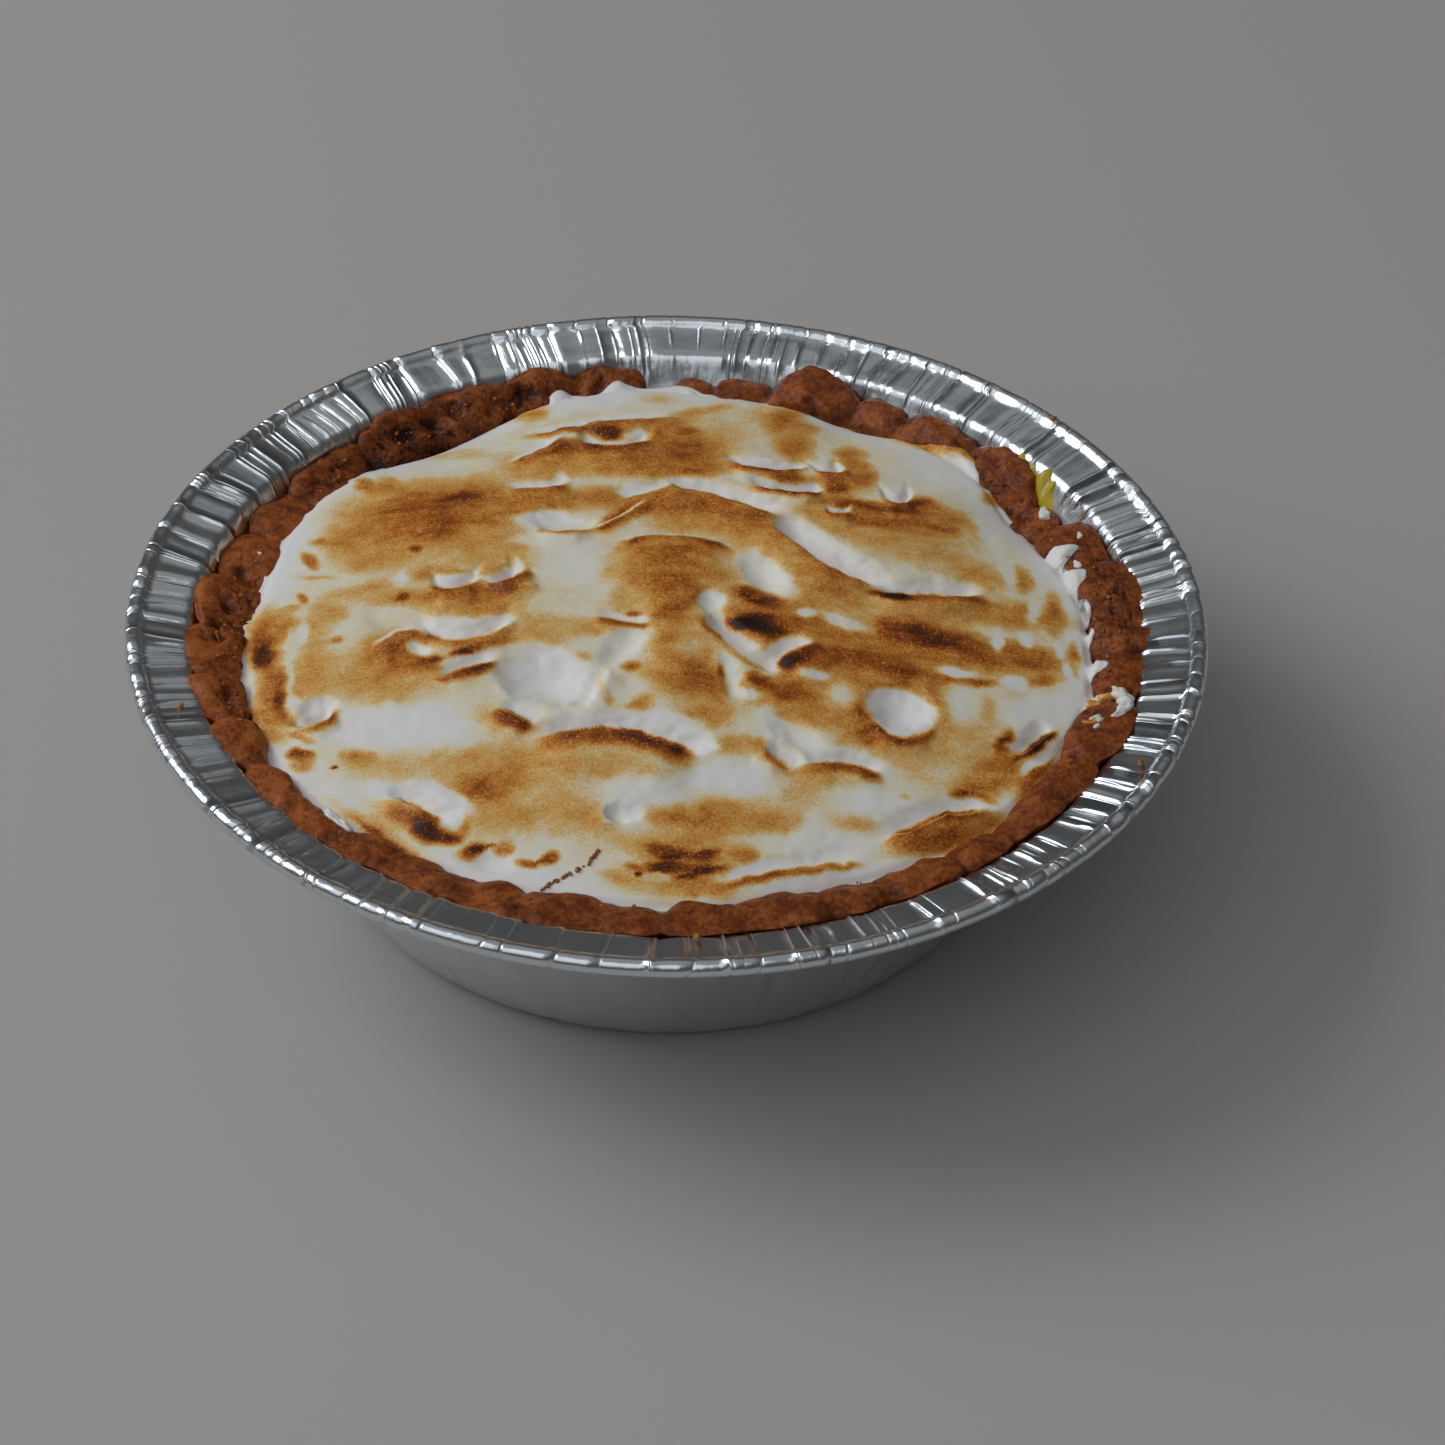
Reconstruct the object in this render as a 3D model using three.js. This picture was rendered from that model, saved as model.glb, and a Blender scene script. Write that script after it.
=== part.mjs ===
// A small lemon meringue pie in its crimped foil dish.
// Millimetres, +Z up. The origin is the middle of the dish's base, on the surface it stands on.
// The front of the pie is towards -Y. Angles are measured from +X, anticlockwise from above.

import * as THREE from "three";

// ---------------------------------------------------------------- driving dimensions

const RIM_DIAMETER = 127;
const RIM_HEIGHT = 32.1;
const BEAD_DIAMETER = 2.3;
const FLANGE_INNER_DIAMETER = 112.8;
const FLANGE_INNER_HEIGHT = 30;
const BASE_DIAMETER = 79.7;
const FOIL_THICKNESS = 0.5;
const BASE_PANEL_DIAMETER = 64;
const BASE_PANEL_LIFT = 0.8;
const PLEATS = 60;
const PLEAT_HEIGHT = 0.5;

const FIT_GAP = 0.3;
const CRUST_TOP = 30;
const CRUST_FLOOR = 19.5;
const LUMP_GROOVE = 0.8;
const LUMP_RISE = 0.6;
const SHELF_DROP = 2.4;

const MERINGUE_RADIUS = 49.7;
const MERINGUE_EDGE_HEIGHT = 28.3;
const MERINGUE_DOME = 5;
const MERINGUE_RINGS = 26;
const MERINGUE_TUCK = 4;
const EDGE_ROLL = 0.5;

const CURD_THICKNESS = 0.9;
const CURD_WIDTH = 2.4;
const CURD_TOP = 28.6;
const CURD_ARC = [29, 43];

// ---------------------------------------------------------------- small helpers

const TURN = 2 * Math.PI;
const radians = (degrees) => (degrees * Math.PI) / 180;
const mix = (first, second, share) => first + (second - first) * share;
const clamp01 = (value) => Math.min(1, Math.max(0, value));
const smooth = (value) => clamp01(value) ** 2 * (3 - 2 * clamp01(value));

// Repeatable random numbers between 0 and 1.
function randomSource(seed) {
  let state = seed;
  return () => {
    state = (state * 1664525 + 1013904223) % 4294967296;
    return state / 4294967296;
  };
}

// A sum of smooth bumps round the pie: each has a middle and a half width in degrees and a size.
function bumpsAt(angle, bumps) {
  let total = 0;
  for (const { at, half, size } of bumps) {
    const turn = Math.atan2(Math.sin(angle - radians(at)), Math.cos(angle - radians(at)));
    total += size * (1 - smooth(Math.abs(turn) / radians(half)));
  }
  return total;
}

// Collects points and triangles, and turns them into one closed geometry.
class Solid {
  constructor() {
    this.coordinates = [];
    this.triangles = [];
  }

  point(x, y, z) {
    this.coordinates.push(x, y, z);
    return this.coordinates.length / 3 - 1;
  }

  ring(points) {
    return points.map(([x, y, z]) => this.point(x, y, z));
  }

  // A band of faces between two rings of the same count. Faces point away from the axis
  // when the second ring is the higher one.
  band(first, second) {
    const count = first.length;
    for (let i = 0; i < count; i += 1) {
      const next = (i + 1) % count;
      this.triangles.push(first[i], first[next], second[next]);
      this.triangles.push(first[i], second[next], second[i]);
    }
  }

  // A fan from a ring to one point, facing up or down.
  fan(ring, centre, facesUp) {
    for (let i = 0; i < ring.length; i += 1) {
      const next = (i + 1) % ring.length;
      if (facesUp) {
        this.triangles.push(ring[i], ring[next], centre);
      } else {
        this.triangles.push(ring[next], ring[i], centre);
      }
    }
  }

  geometry() {
    const geometry = new THREE.BufferGeometry();
    geometry.setAttribute("position", new THREE.Float32BufferAttribute(this.coordinates, 3));
    geometry.setIndex(this.triangles);
    geometry.computeVertexNormals();
    return geometry;
  }
}

const atAngle = (radius, angle, height) => [radius * Math.cos(angle), radius * Math.sin(angle), height];

// A body turned about Z whose section may change with the angle. sectionAt(index) gives the
// section's points [radius, height] from the lower middle, round the outside, to the upper middle.
function turnedSolid(angles, sectionAt, lowerMiddle, upperMiddle) {
  const solid = new Solid();
  const sections = angles.map((angle, index) => sectionAt(angle, index));
  const pointAt = (index, level) => {
    const [radius, height] = sections[index][level];
    return atAngle(radius, angles[index], height);
  };
  const ringAt = (level) => solid.ring(angles.map((_, index) => pointAt(index, level)));
  const rings = sections[0].map((_, level) => ringAt(level));
  solid.fan(rings[0], solid.point(0, 0, lowerMiddle), false);
  for (let level = 1; level < rings.length; level += 1) {
    solid.band(rings[level - 1], rings[level]);
  }
  solid.fan(rings[rings.length - 1], solid.point(0, 0, upperMiddle), true);
  return solid.geometry();
}

// ---------------------------------------------------------------- foil dish

const RIM_RADIUS = RIM_DIAMETER / 2;
const BEAD_RADIUS = BEAD_DIAMETER / 2;
const BEAD_CENTRE = [RIM_RADIUS - BEAD_RADIUS, RIM_HEIGHT - BEAD_RADIUS];
const FLANGE_INNER_RADIUS = FLANGE_INNER_DIAMETER / 2;
const BASE_RADIUS = BASE_DIAMETER / 2;
const WALL_SLOPE = (FLANGE_INNER_RADIUS - BASE_RADIUS) / FLANGE_INNER_HEIGHT;
const HALF_FOIL = FOIL_THICKNESS / 2;

// The radius of the middle of the foil wall at a height.
const wallRadius = (height) => BASE_RADIUS + WALL_SLOPE * height;

// The middle line of the foil from the base panel to the bead, and how much of a pleat each point has.
const FOIL_LINE = [
  { radius: BASE_PANEL_DIAMETER / 2, height: BASE_PANEL_LIFT + HALF_FOIL, pleat: 0 },
  { radius: BASE_PANEL_DIAMETER / 2 + 2.2, height: HALF_FOIL, pleat: 0 },
  { radius: BASE_RADIUS - 1.6, height: HALF_FOIL, pleat: 0 },
  { radius: wallRadius(1.5) - 0.1, height: 1.5, pleat: 0 },
  { radius: wallRadius(23.5), height: 23.5, pleat: 0 },
  { radius: wallRadius(28.6), height: 28.6, pleat: 0 },
  { radius: FLANGE_INNER_RADIUS + 0.9, height: FLANGE_INNER_HEIGHT + 0.15, pleat: 1 },
  { radius: BEAD_CENTRE[0] - BEAD_RADIUS, height: BEAD_CENTRE[1] - 0.05, pleat: 0.8 },
];
const BEAD_STEPS = 7;
const BEAD_FROM = radians(-150);
const BEAD_TO = radians(150);
const RIM_WARP = 0.3;
const RIM_WARP_START = 0.6;
const PLEAT_CREST = [0.35, 0.65];
const LEAST_PLEAT = 0.5;

// The middle line's direction at a point, turned a quarter to the left: the pie's side of the foil.
// It points straight up on the ring that the dish stands on.
function innerNormal(index) {
  if (FOIL_LINE[index].height === HALF_FOIL) {
    return [0, 1];
  }
  const before = FOIL_LINE[Math.max(0, index - 1)];
  const after = FOIL_LINE[Math.min(FOIL_LINE.length - 1, index + 1)];
  const length = Math.hypot(after.radius - before.radius, after.height - before.height);
  return [-(after.height - before.height) / length, (after.radius - before.radius) / length];
}

// The rim is not quite level: it rises and falls a little, more towards the top of the dish.
function rimWarp(angle, height) {
  return RIM_WARP * Math.sin(2 * angle + RIM_WARP_START) * smooth(height / RIM_HEIGHT);
}

function foilDish() {
  const random = randomSource(11);
  const step = TURN / PLEATS;
  const angles = [];
  const pleatHeights = [];
  for (let i = 0; i < PLEATS; i += 1) {
    const valley = i * step;
    angles.push(valley, valley + step * mix(...PLEAT_CREST, random()));
    pleatHeights.push(0, PLEAT_HEIGHT * mix(LEAST_PLEAT, 1, random()));
  }
  const sectionAt = (angle, index) => {
    const side = (sign) =>
      FOIL_LINE.map(({ radius, height, pleat }, place) => {
        const [outward, upward] = innerNormal(place);
        const shift = sign * HALF_FOIL + pleat * pleatHeights[index];
        const raised = height + upward * shift;
        return [radius + outward * shift, raised + rimWarp(angle, raised)];
      });
    const bead = [];
    for (let i = 0; i < BEAD_STEPS; i += 1) {
      const around = BEAD_FROM + ((BEAD_TO - BEAD_FROM) * i) / (BEAD_STEPS - 1);
      const height = BEAD_CENTRE[1] + BEAD_RADIUS * Math.sin(around);
      bead.push([BEAD_CENTRE[0] + BEAD_RADIUS * Math.cos(around), height + rimWarp(angle, height)]);
    }
    return [...side(-1), ...bead, ...side(1).reverse()];
  };
  return turnedSolid(angles, sectionAt, BASE_PANEL_LIFT, BASE_PANEL_LIFT + FOIL_THICKNESS);
}

// ---------------------------------------------------------------- where crust and meringue meet

// The meringue is pushed out over the front left and the low back of the crust.
const MERINGUE_REACH = [
  { at: -143, half: 34, size: 1.6 },
  { at: -42, half: 34, size: 1.0 },
  { at: -14, half: 12, size: 0.8 },
  { at: 96, half: 16, size: 1.4 },
  { at: 18, half: 12, size: -0.8 },
  { at: 172, half: 16, size: -1.0 },
  { at: 56, half: 22, size: 1.0 },
  { at: 31, half: 8, size: -1.0 },
];

// The meringue's edge sits low in front of the tall lumps at the back.
const MERINGUE_EDGE_DROPS = [
  { at: 126, half: 20, size: -3.2 },
  { at: 62, half: 12, size: -1.8 },
  { at: 27, half: 13, size: -1.8 },
];

const meringueRadius = (angle) => MERINGUE_RADIUS + bumpsAt(angle, MERINGUE_REACH);
const meringueEdge = (angle) => MERINGUE_EDGE_HEIGHT + bumpsAt(angle, MERINGUE_EDGE_DROPS);

// ---------------------------------------------------------------- crust

// The crust's pinched lumps, anticlockwise: the angle in degrees at which each one starts, and
// how far its top is above CRUST_TOP. The back ones have sunk.
const LUMPS = [
  [-177.5, 0.5],
  [-168, 0.6],
  [-158, 0.4],
  [-149, 0.2],
  [-141, 0.3],
  [-132, 0.2],
  [-124, 0],
  [-115, 0.2],
  [-106.5, 0.2],
  [-98, 0.1],
  [-90.5, 0.2],
  [-81, 0.1],
  [-71.5, 0.1],
  [-63, 0],
  [-54, -0.1],
  [-45, 0],
  [-36, 0.1],
  [-27, 0.5],
  [-15, 0.3],
  [-6, 0.5],
  [2, 0.7],
  [14, -0.1],
  [26.5, -2.4],
  [31.4, 0.1],
  [44.3, -0.5],
  [56.5, -1],
  [63, 0.6],
  [75.4, -1.8],
  [84, -2.2],
  [91, -3.4],
  [93.5, -0.5],
  [103.5, -0.1],
  [113, -0.3],
  [125, -0.4],
  [136.6, -1.1],
  [150.5, -1.3],
  [161, -0.9],
  [170.5, 0.2],
];

// The lumps run into one another where this is below 0.
const LUMP_FADES = [
  { at: 178, half: 26, size: -0.3 },
  { at: -98, half: 62, size: -0.75 },
  { at: -140, half: 24, size: -0.5 },
  { at: -34, half: 24, size: -0.4 },
  { at: 0, half: 30, size: -0.7 },
  { at: 130, half: 20, size: -0.2 },
];

// Where the crust has sunk between its crown and the meringue, as a share of SHELF_DROP.
const SHELVES = [
  { at: 178, half: 15, size: 1 },
  { at: -163, half: 8, size: 0.5 },
  { at: 36, half: 10, size: 1 },
  { at: 132, half: 24, size: 1 },
  { at: 104, half: 16, size: 0.9 },
  { at: 66, half: 10, size: 0.5 },
];

const POINTS_PER_LUMP = 4;
const LUMP_ROUNDNESS = 0.75;
const SHOULDER_DROP = 0.8;
const SHOULDER_ROUND = 0.5;
const NECK_DROP = 3;
const NECK_DENT = 0.8;
const WAIST_HEIGHT = 20;
const FOOT_HEIGHT = 3;
const FOOT_INSET = 2.6;
const CRUST_BOTTOM = FOIL_THICKNESS + FIT_GAP + BASE_PANEL_LIFT;
const CROWN_SAG = 0.25;
const SHELF_SHARE = 0.36;
const LIP = 0.2;

// Shares that differ between plain crust and sunk crust: how far out the crown is, and how far
// the shelf inside it and the lip against the meringue are lowered.
const CROWN_SHARES = [0.66, 0.8];
const SHELF_SHARES = [0, 0.6];
const LIP_SHARES = [0.55, 0.95];

const CRUST_CLEARANCE = FIT_GAP + HALF_FOIL;
const CURD_POCKET = [{ at: 36, half: 12.8, size: CURD_THICKNESS + FIT_GAP }];

// The widest the crust may be at a height, inside the foil.
const crustReach = (height) => wallRadius(height) - CRUST_CLEARANCE;

// The angles of the crust's sections, with the crust's top there and how far its side is dented
// between two lumps.
function crustPlaces() {
  const places = [];
  LUMPS.forEach(([start, rise], index) => {
    const [nextStart, nextRise] = LUMPS[(index + 1) % LUMPS.length];
    const [, lastRise] = LUMPS[(index + LUMPS.length - 1) % LUMPS.length];
    const width = (nextStart - start + 360) % 360;
    const firstGroove = Math.min(lastRise, rise);
    const nextGroove = Math.min(nextRise, rise);
    for (let i = 0; i < POINTS_PER_LUMP; i += 1) {
      const phase = i / POINTS_PER_LUMP;
      const swell = (1 - (2 * phase - 1) ** 2) ** LUMP_ROUNDNESS;
      const angle = radians(start + phase * width);
      const share = 1 + bumpsAt(angle, LUMP_FADES);
      const groove = mix(firstGroove, nextGroove, phase) - LUMP_RISE * share;
      const top = CRUST_TOP + mix(groove, rise, swell);
      places.push({ angle, top, dent: LUMP_GROOVE * (1 - swell) * share });
    }
  });
  return places;
}

function crust() {
  const places = crustPlaces();
  const sectionAt = (angle, index) => {
    const { top, dent } = places[index];
    const pocket = bumpsAt(angle, CURD_POCKET);
    const inner = meringueRadius(angle) + FIT_GAP;
    const edge = Math.min(meringueEdge(angle), top) - EDGE_ROLL;
    const outer = crustReach(top - SHOULDER_DROP) - dent - pocket;
    const low = Math.max(edge, top - SHELF_DROP);
    const sunk = ([plain, most]) => mix(plain, most, bumpsAt(angle, SHELVES));
    return [
      [BASE_RADIUS - FOOT_INSET, CRUST_BOTTOM],
      [crustReach(FOOT_HEIGHT), FOOT_HEIGHT],
      [crustReach(WAIST_HEIGHT) - pocket, WAIST_HEIGHT],
      [crustReach(top - NECK_DROP) - NECK_DENT * dent - pocket, top - NECK_DROP],
      [outer, top - SHOULDER_DROP],
      [outer - SHOULDER_ROUND, top - CROWN_SAG],
      [mix(inner, outer, sunk(CROWN_SHARES)), top],
      [mix(inner, outer, SHELF_SHARE), mix(top - CROWN_SAG, low, sunk(SHELF_SHARES))],
      [inner + 2 * LIP, mix(top, low, sunk(LIP_SHARES))],
      [inner + LIP, edge],
      [inner - MERINGUE_TUCK, CRUST_FLOOR],
    ];
  };
  const angles = places.map(({ angle }) => angle);
  return turnedSolid(angles, sectionAt, CRUST_BOTTOM, CRUST_FLOOR);
}

// ---------------------------------------------------------------- meringue

// Each fold is a crest from one place to another, bowed to the left of its way when bow is
// positive. Its front slopes away gently on the right, and it drops sharply on the left, into
// a dip where the spatula lifted the meringue. A bow is how it looks from above the front, where
// a crest looks further back by LOOK_LEAN for each unit that it rises.
// from x, y, to x, y, bow, rise, front, back, dip
const FOLDS = [
  [-15.2, -25.4, 4.5, -28.8, 2.9, 1.5, 8, 1.5, 1.1],
  [-19.5, -19.8, -14.7, -24, 0.6, 0.8, 3.5, 1.2, 0.5],
  [-8.8, -4.2, -1.6, -5.4, -0.3, 0.6, 3, 1, 0.3],
  [3.4, -2.5, 12.4, -14.4, -1.4, 0.9, 4, 1.2, 1],
  [12.2, -13, 17.5, -7.6, 0.7, 1.2, 6, 1.3, 0.7],
  [15.5, -8.8, 29.5, -11, 1.3, 0.7, 7, 2.2, 0.3],
  [-3, 24.2, 14.5, 16.8, 0.7, 1.2, 7, 1.5, 1],
  [-6.8, 20.6, 0.8, 24.2, -0.9, 0.7, 5, 1.2, 0.6],
  [11.4, 17.4, 25.2, 2.8, -1.3, 1.6, 8, 1.6, 1.4],
  [23.5, 2.8, 38, 4.4, -0.5, 1.1, 4, 1.4, 0.9],
  [-34.5, -9, -26, -7, 3, 0.9, 3.5, 1.8, 0.3],
  [-30.4, -4.4, -17, -4.2, -3.3, 0.9, 3, 1.2, 0.8],
  [-26.2, -14.9, -19.3, -12, 0.5, 0.7, 3, 0.9, 0.6],
  [-9.8, -20.6, -6.2, -13.4, -0.3, 0.5, 2.5, 0.8, 0.6],
  [-28.8, 3.6, -21.8, 4, -1.5, 0.9, 4, 1.1, 0.9],
  [-22.2, 3, -16.6, 6.4, -1.4, 0.9, 4, 1.1, 0.9],
  [-20.4, 23.6, -11.6, 25, -0.8, 0.7, 6, 1.1, 0.5],
  [-16.6, 14.2, -9, 14, -0.9, 0.7, 3, 1, 0.6],
  [-10.2, 13.4, -2.3, 20.6, -0.7, 0.45, 3, 1.4, 0.2],
  [-6.8, 10.2, 8.6, 9, 2.8, 0.8, 9, 2, 0.1],
  [-12.4, 37, -1.6, 36.4, -3.4, 0.9, 6, 1.2, 1.1],
  [-20.3, 30, -12.6, 37, -0.3, 0.6, 4, 1.2, 0.3],
  [-19.5, 36.4, 2, 42.2, 0.9, 0.7, 3, 1.4, 0.2],
  [6.3, 30.6, 17.4, 30.2, -1.6, 0.8, 3.5, 1, 0.9],
  [17.6, 29.2, 22, 31.2, -1.5, 0.7, 3, 0.9, 0.7],
  [9.2, 24.8, 19.8, 24.6, -1.2, 0.9, 3, 1, 0.8],
  [18.6, 20.6, 22.8, 20.4, -1.2, 0.6, 3, 0.8, 0.5],
  [25.6, 24.4, 30, 24.8, -1.7, 0.8, 3.5, 1, 0.7],
  [24, -1.8, 38, -5.8, 0.7, 0.6, 5, 2.4, 0.2],
  [22.7, -19.8, 31, -20.2, -3.1, 0.7, 3, 1, 0],
  [14.8, -29.2, 25, -30.2, 1.4, 0.8, 3.5, 1, 0.7],
  [10.8, -25.6, 14.8, -29.4, -0.5, 0.6, 3, 0.8, 0.6],
  [23, -40.2, 38.2, -32.8, 1.5, 1, 4, 1.2, 0.6],
  [4.6, -47.3, 22.8, -42.4, 0.3, 0.6, 2.5, 1, 0.3],
  [40, -24.2, 45.2, -18.2, 0.2, 0.6, 2, 0.8, 0.6],
  [-42.8, -20.8, -37.6, -18, -1.2, 0.7, 2.5, 0.9, 0.7],
  [-32, -32.6, -23.6, -38.8, 0.5, 0.8, 3, 1, 0.7],
  [-6.4, -35.6, -5, -38.8, -0.8, 0.35, 2, 0.6, 0.6],
];

// Hollows that the spatula's tip and burst bubbles left, and broad swells, whose depth is
// negative: middle x, y, half sizes along and across, turn in degrees, and depth.
const HOLLOWS = [
  [-13.5, -16, 7.4, 4.8, -35, 1.8],
  [26.8, -18.6, 4.4, 4, 0, 1.4],
  [8.5, -8.5, 7, 2.4, -52, 0.8],
  [11.5, -10.5, 3.5, 2.5, 30, 0.6],
  [11.5, 4.5, 5.5, 2.8, -72, 0.9],
  [7.5, -15.5, 4.5, 1.5, -75, 0.6],
  [-28, -8.8, 2.4, 1.8, -40, 0.9],
  [-13, 15.8, 4.8, 2.4, -15, 0.7],
  [-4.4, -37.2, 2.4, 1.6, 0, 0.6],
  [13.8, -27.6, 2.6, 1.8, -50, 0.8],
  [-40, -18.4, 2.6, 2.2, 0, 0.8],
  [4.8, -1.4, 2.2, 2.4, 0, 0.8],
  [-7, 35.2, 3.8, 2, 0, 0.6],
  [3.2, -26.4, 2.8, 2.2, 0, 0.7],
  [-19.5, -44, 3.8, 2.2, 10, 0.5],
  [-5, -9.8, 5, 2.6, 60, 0.8],
  [14.5, -23.5, 5, 2.5, -50, 0.5],
  [0.5, -8, 15, 6, 92, -1.1],
  [0, 4, 11, 9, 0, -0.7],
  [-28, 18, 15, 9, 0, -0.7],
  [-7, -33, 15, 7, -6, -0.5],
  [28, 13, 12, 7, -10, -0.6],
  [-4, 31, 14, 6, 0, -0.6],
];

// The shares of the way out at which the top starts to roll over, and the relief to fade.
const ROLL_OUT = 0.95;
const RELIEF_OUT = 0.92;

const LOOK_LEAN = 1.256;
const FOLD_TAPER = 0.3;
const LEAST_FRONT = 3;
const LEAST_BACK = 1.6;
const DIP_REACH = 1.7;

function foldHeight([x0, y0, x1, y1, bow, rise, front, back, dip], x, y) {
  const length = Math.hypot(x1 - x0, y1 - y0);
  const wayX = (x1 - x0) / length;
  const wayY = (y1 - y0) / length;
  const part = clamp01(((x - x0) * wayX + (y - y0) * wayY) / length);
  const fade = smooth(Math.min(part, 1 - part) / FOLD_TAPER);
  const off = (y - y0) * wayX - (x - x0) * wayY - 4 * bow * part * (1 - part);
  const slope = (4 * bow * (1 - 2 * part)) / length;
  const behind = off / Math.hypot(1, slope) + LOOK_LEAN * rise * fade * wayX;
  if (behind < 0) {
    return rise * fade * (1 - smooth(-behind / Math.max(front, LEAST_FRONT)));
  }
  const drop = Math.max(back, LEAST_BACK);
  const dipMiddle = DIP_REACH * drop;
  const dipShape = Math.max(0, 1 - ((behind - dipMiddle) / dipMiddle) ** 2) ** 2;
  return fade * (rise * (1 - smooth(behind / drop)) - dip * dipShape);
}

function hollowDepth([middleX, middleY, along, across, turn, depth], x, y) {
  const cos = Math.cos(radians(turn));
  const sin = Math.sin(radians(turn));
  const offX = x - middleX;
  const offY = y - middleY - 0.5 * LOOK_LEAN * depth;
  const u = (offX * cos + offY * sin) / along;
  const v = (offY * cos - offX * sin) / across;
  return depth * (1 - smooth(Math.hypot(u, v)));
}

function meringueHeight(x, y) {
  const angle = Math.atan2(y, x);
  const out = Math.min(1, Math.hypot(x, y) / meringueRadius(angle));
  const dome = MERINGUE_EDGE_HEIGHT + MERINGUE_DOME * (1 - out ** 2);
  const drop = (meringueEdge(angle) - MERINGUE_EDGE_HEIGHT) * out ** 8;
  const roll = EDGE_ROLL * smooth((out - ROLL_OUT) / (1 - ROLL_OUT));
  let relief = 0;
  for (const fold of FOLDS) {
    relief += foldHeight(fold, x, y);
  }
  for (const hollow of HOLLOWS) {
    relief -= hollowDepth(hollow, x, y);
  }
  return dome + drop - roll + relief * (1 - smooth((out - RELIEF_OUT) / (1 - RELIEF_OUT)));
}

// The top is a lattice of rings with six more points on each ring, so its faces are all much
// the same size. Ring 0 is the middle.
function meringue() {
  const solid = new Solid();
  const rings = [[solid.point(0, 0, meringueHeight(0, 0))]];
  for (let ring = 1; ring <= MERINGUE_RINGS; ring += 1) {
    const points = [];
    for (let i = 0; i < 6 * ring; i += 1) {
      const angle = (TURN * i) / (6 * ring);
      const radius = (meringueRadius(angle) * ring) / MERINGUE_RINGS;
      const [x, y] = atAngle(radius, angle, 0);
      points.push([x, y, meringueHeight(x, y)]);
    }
    rings.push(solid.ring(points));
  }
  for (let ring = 1; ring <= MERINGUE_RINGS; ring += 1) {
    const outer = rings[ring];
    const inner = rings[ring - 1];
    for (let sector = 0; sector < 6; sector += 1) {
      for (let i = 0; i < ring; i += 1) {
        const here = outer[sector * ring + i];
        const next = outer[(sector * ring + i + 1) % outer.length];
        const inside = inner[(sector * (ring - 1) + i) % inner.length];
        solid.triangles.push(here, next, inside);
        if (i < ring - 1) {
          solid.triangles.push(next, inner[(sector * (ring - 1) + i + 1) % inner.length], inside);
        }
      }
    }
  }
  const floor = CRUST_FLOOR + FIT_GAP;
  const rim = rings[MERINGUE_RINGS];
  const lower = solid.ring(
    rim.map((_, i) => {
      const angle = (TURN * i) / rim.length;
      return atAngle(meringueRadius(angle) - MERINGUE_TUCK, angle, floor);
    }),
  );
  solid.band(lower, rim);
  solid.fan(lower, solid.point(0, 0, floor), false);
  return solid.geometry();
}

// ---------------------------------------------------------------- lemon curd

const CURD_STEPS = 16;
const CURD_WAVE = 0.5;
const CURD_WAVES = 1.75;
const CURD_BEVEL = 0.4;
const CURD_END = 0.3;
const CURD_ROUNDNESS = 0.6;

// Curd that has seeped out between the crust and the foil, as a thin curved strip on the wall.
function lemonCurd() {
  const solid = new Solid();
  const sections = [];
  for (let i = 0; i <= CURD_STEPS; i += 1) {
    const part = i / CURD_STEPS;
    const angle = radians(CURD_ARC[0] + (CURD_ARC[1] - CURD_ARC[0]) * part);
    const swell = mix(CURD_END, 1, Math.sin(Math.PI * part) ** CURD_ROUNDNESS);
    const top = CURD_TOP + CURD_WAVE * Math.sin(part * CURD_WAVES * TURN);
    const bottom = top - CURD_WIDTH * swell;
    const front = (height) => crustReach(height) - CURD_THICKNESS * swell;
    sections.push(
      solid.ring([
        atAngle(crustReach(bottom), angle, bottom),
        atAngle(crustReach(top), angle, top),
        atAngle(front(top - CURD_BEVEL), angle, top - CURD_BEVEL),
        atAngle(front(bottom), angle, bottom),
      ]),
    );
  }
  for (let i = 1; i < sections.length; i += 1) {
    solid.band(sections[i], sections[i - 1]);
  }
  const first = sections[0];
  const last = sections[sections.length - 1];
  solid.triangles.push(first[0], first[1], first[2], first[0], first[2], first[3]);
  solid.triangles.push(last[0], last[3], last[2], last[0], last[2], last[1]);
  return solid.geometry();
}

// ---------------------------------------------------------------- the pie

function part(name, geometry, color, roughness, metalness) {
  const material = new THREE.MeshStandardMaterial({ color, roughness, metalness, flatShading: true });
  const mesh = new THREE.Mesh(geometry, material);
  mesh.name = name;
  return mesh;
}

const pie = new THREE.Group();
pie.add(part("foil_dish", foilDish(), 0xb9bdc1, 0.25, 1));
pie.add(part("crust", crust(), 0x7d4a2c, 0.9, 0));
pie.add(part("meringue", meringue(), 0xe6ddcb, 0.6, 0));
pie.add(part("lemon_curd", lemonCurd(), 0xb7ad3c, 0.3, 0));

export default pie;
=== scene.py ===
import math

import bpy
import numpy as np
from bpy.props import FloatProperty, FloatVectorProperty, IntProperty, PointerProperty
from mathutils import Matrix, Vector


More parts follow.
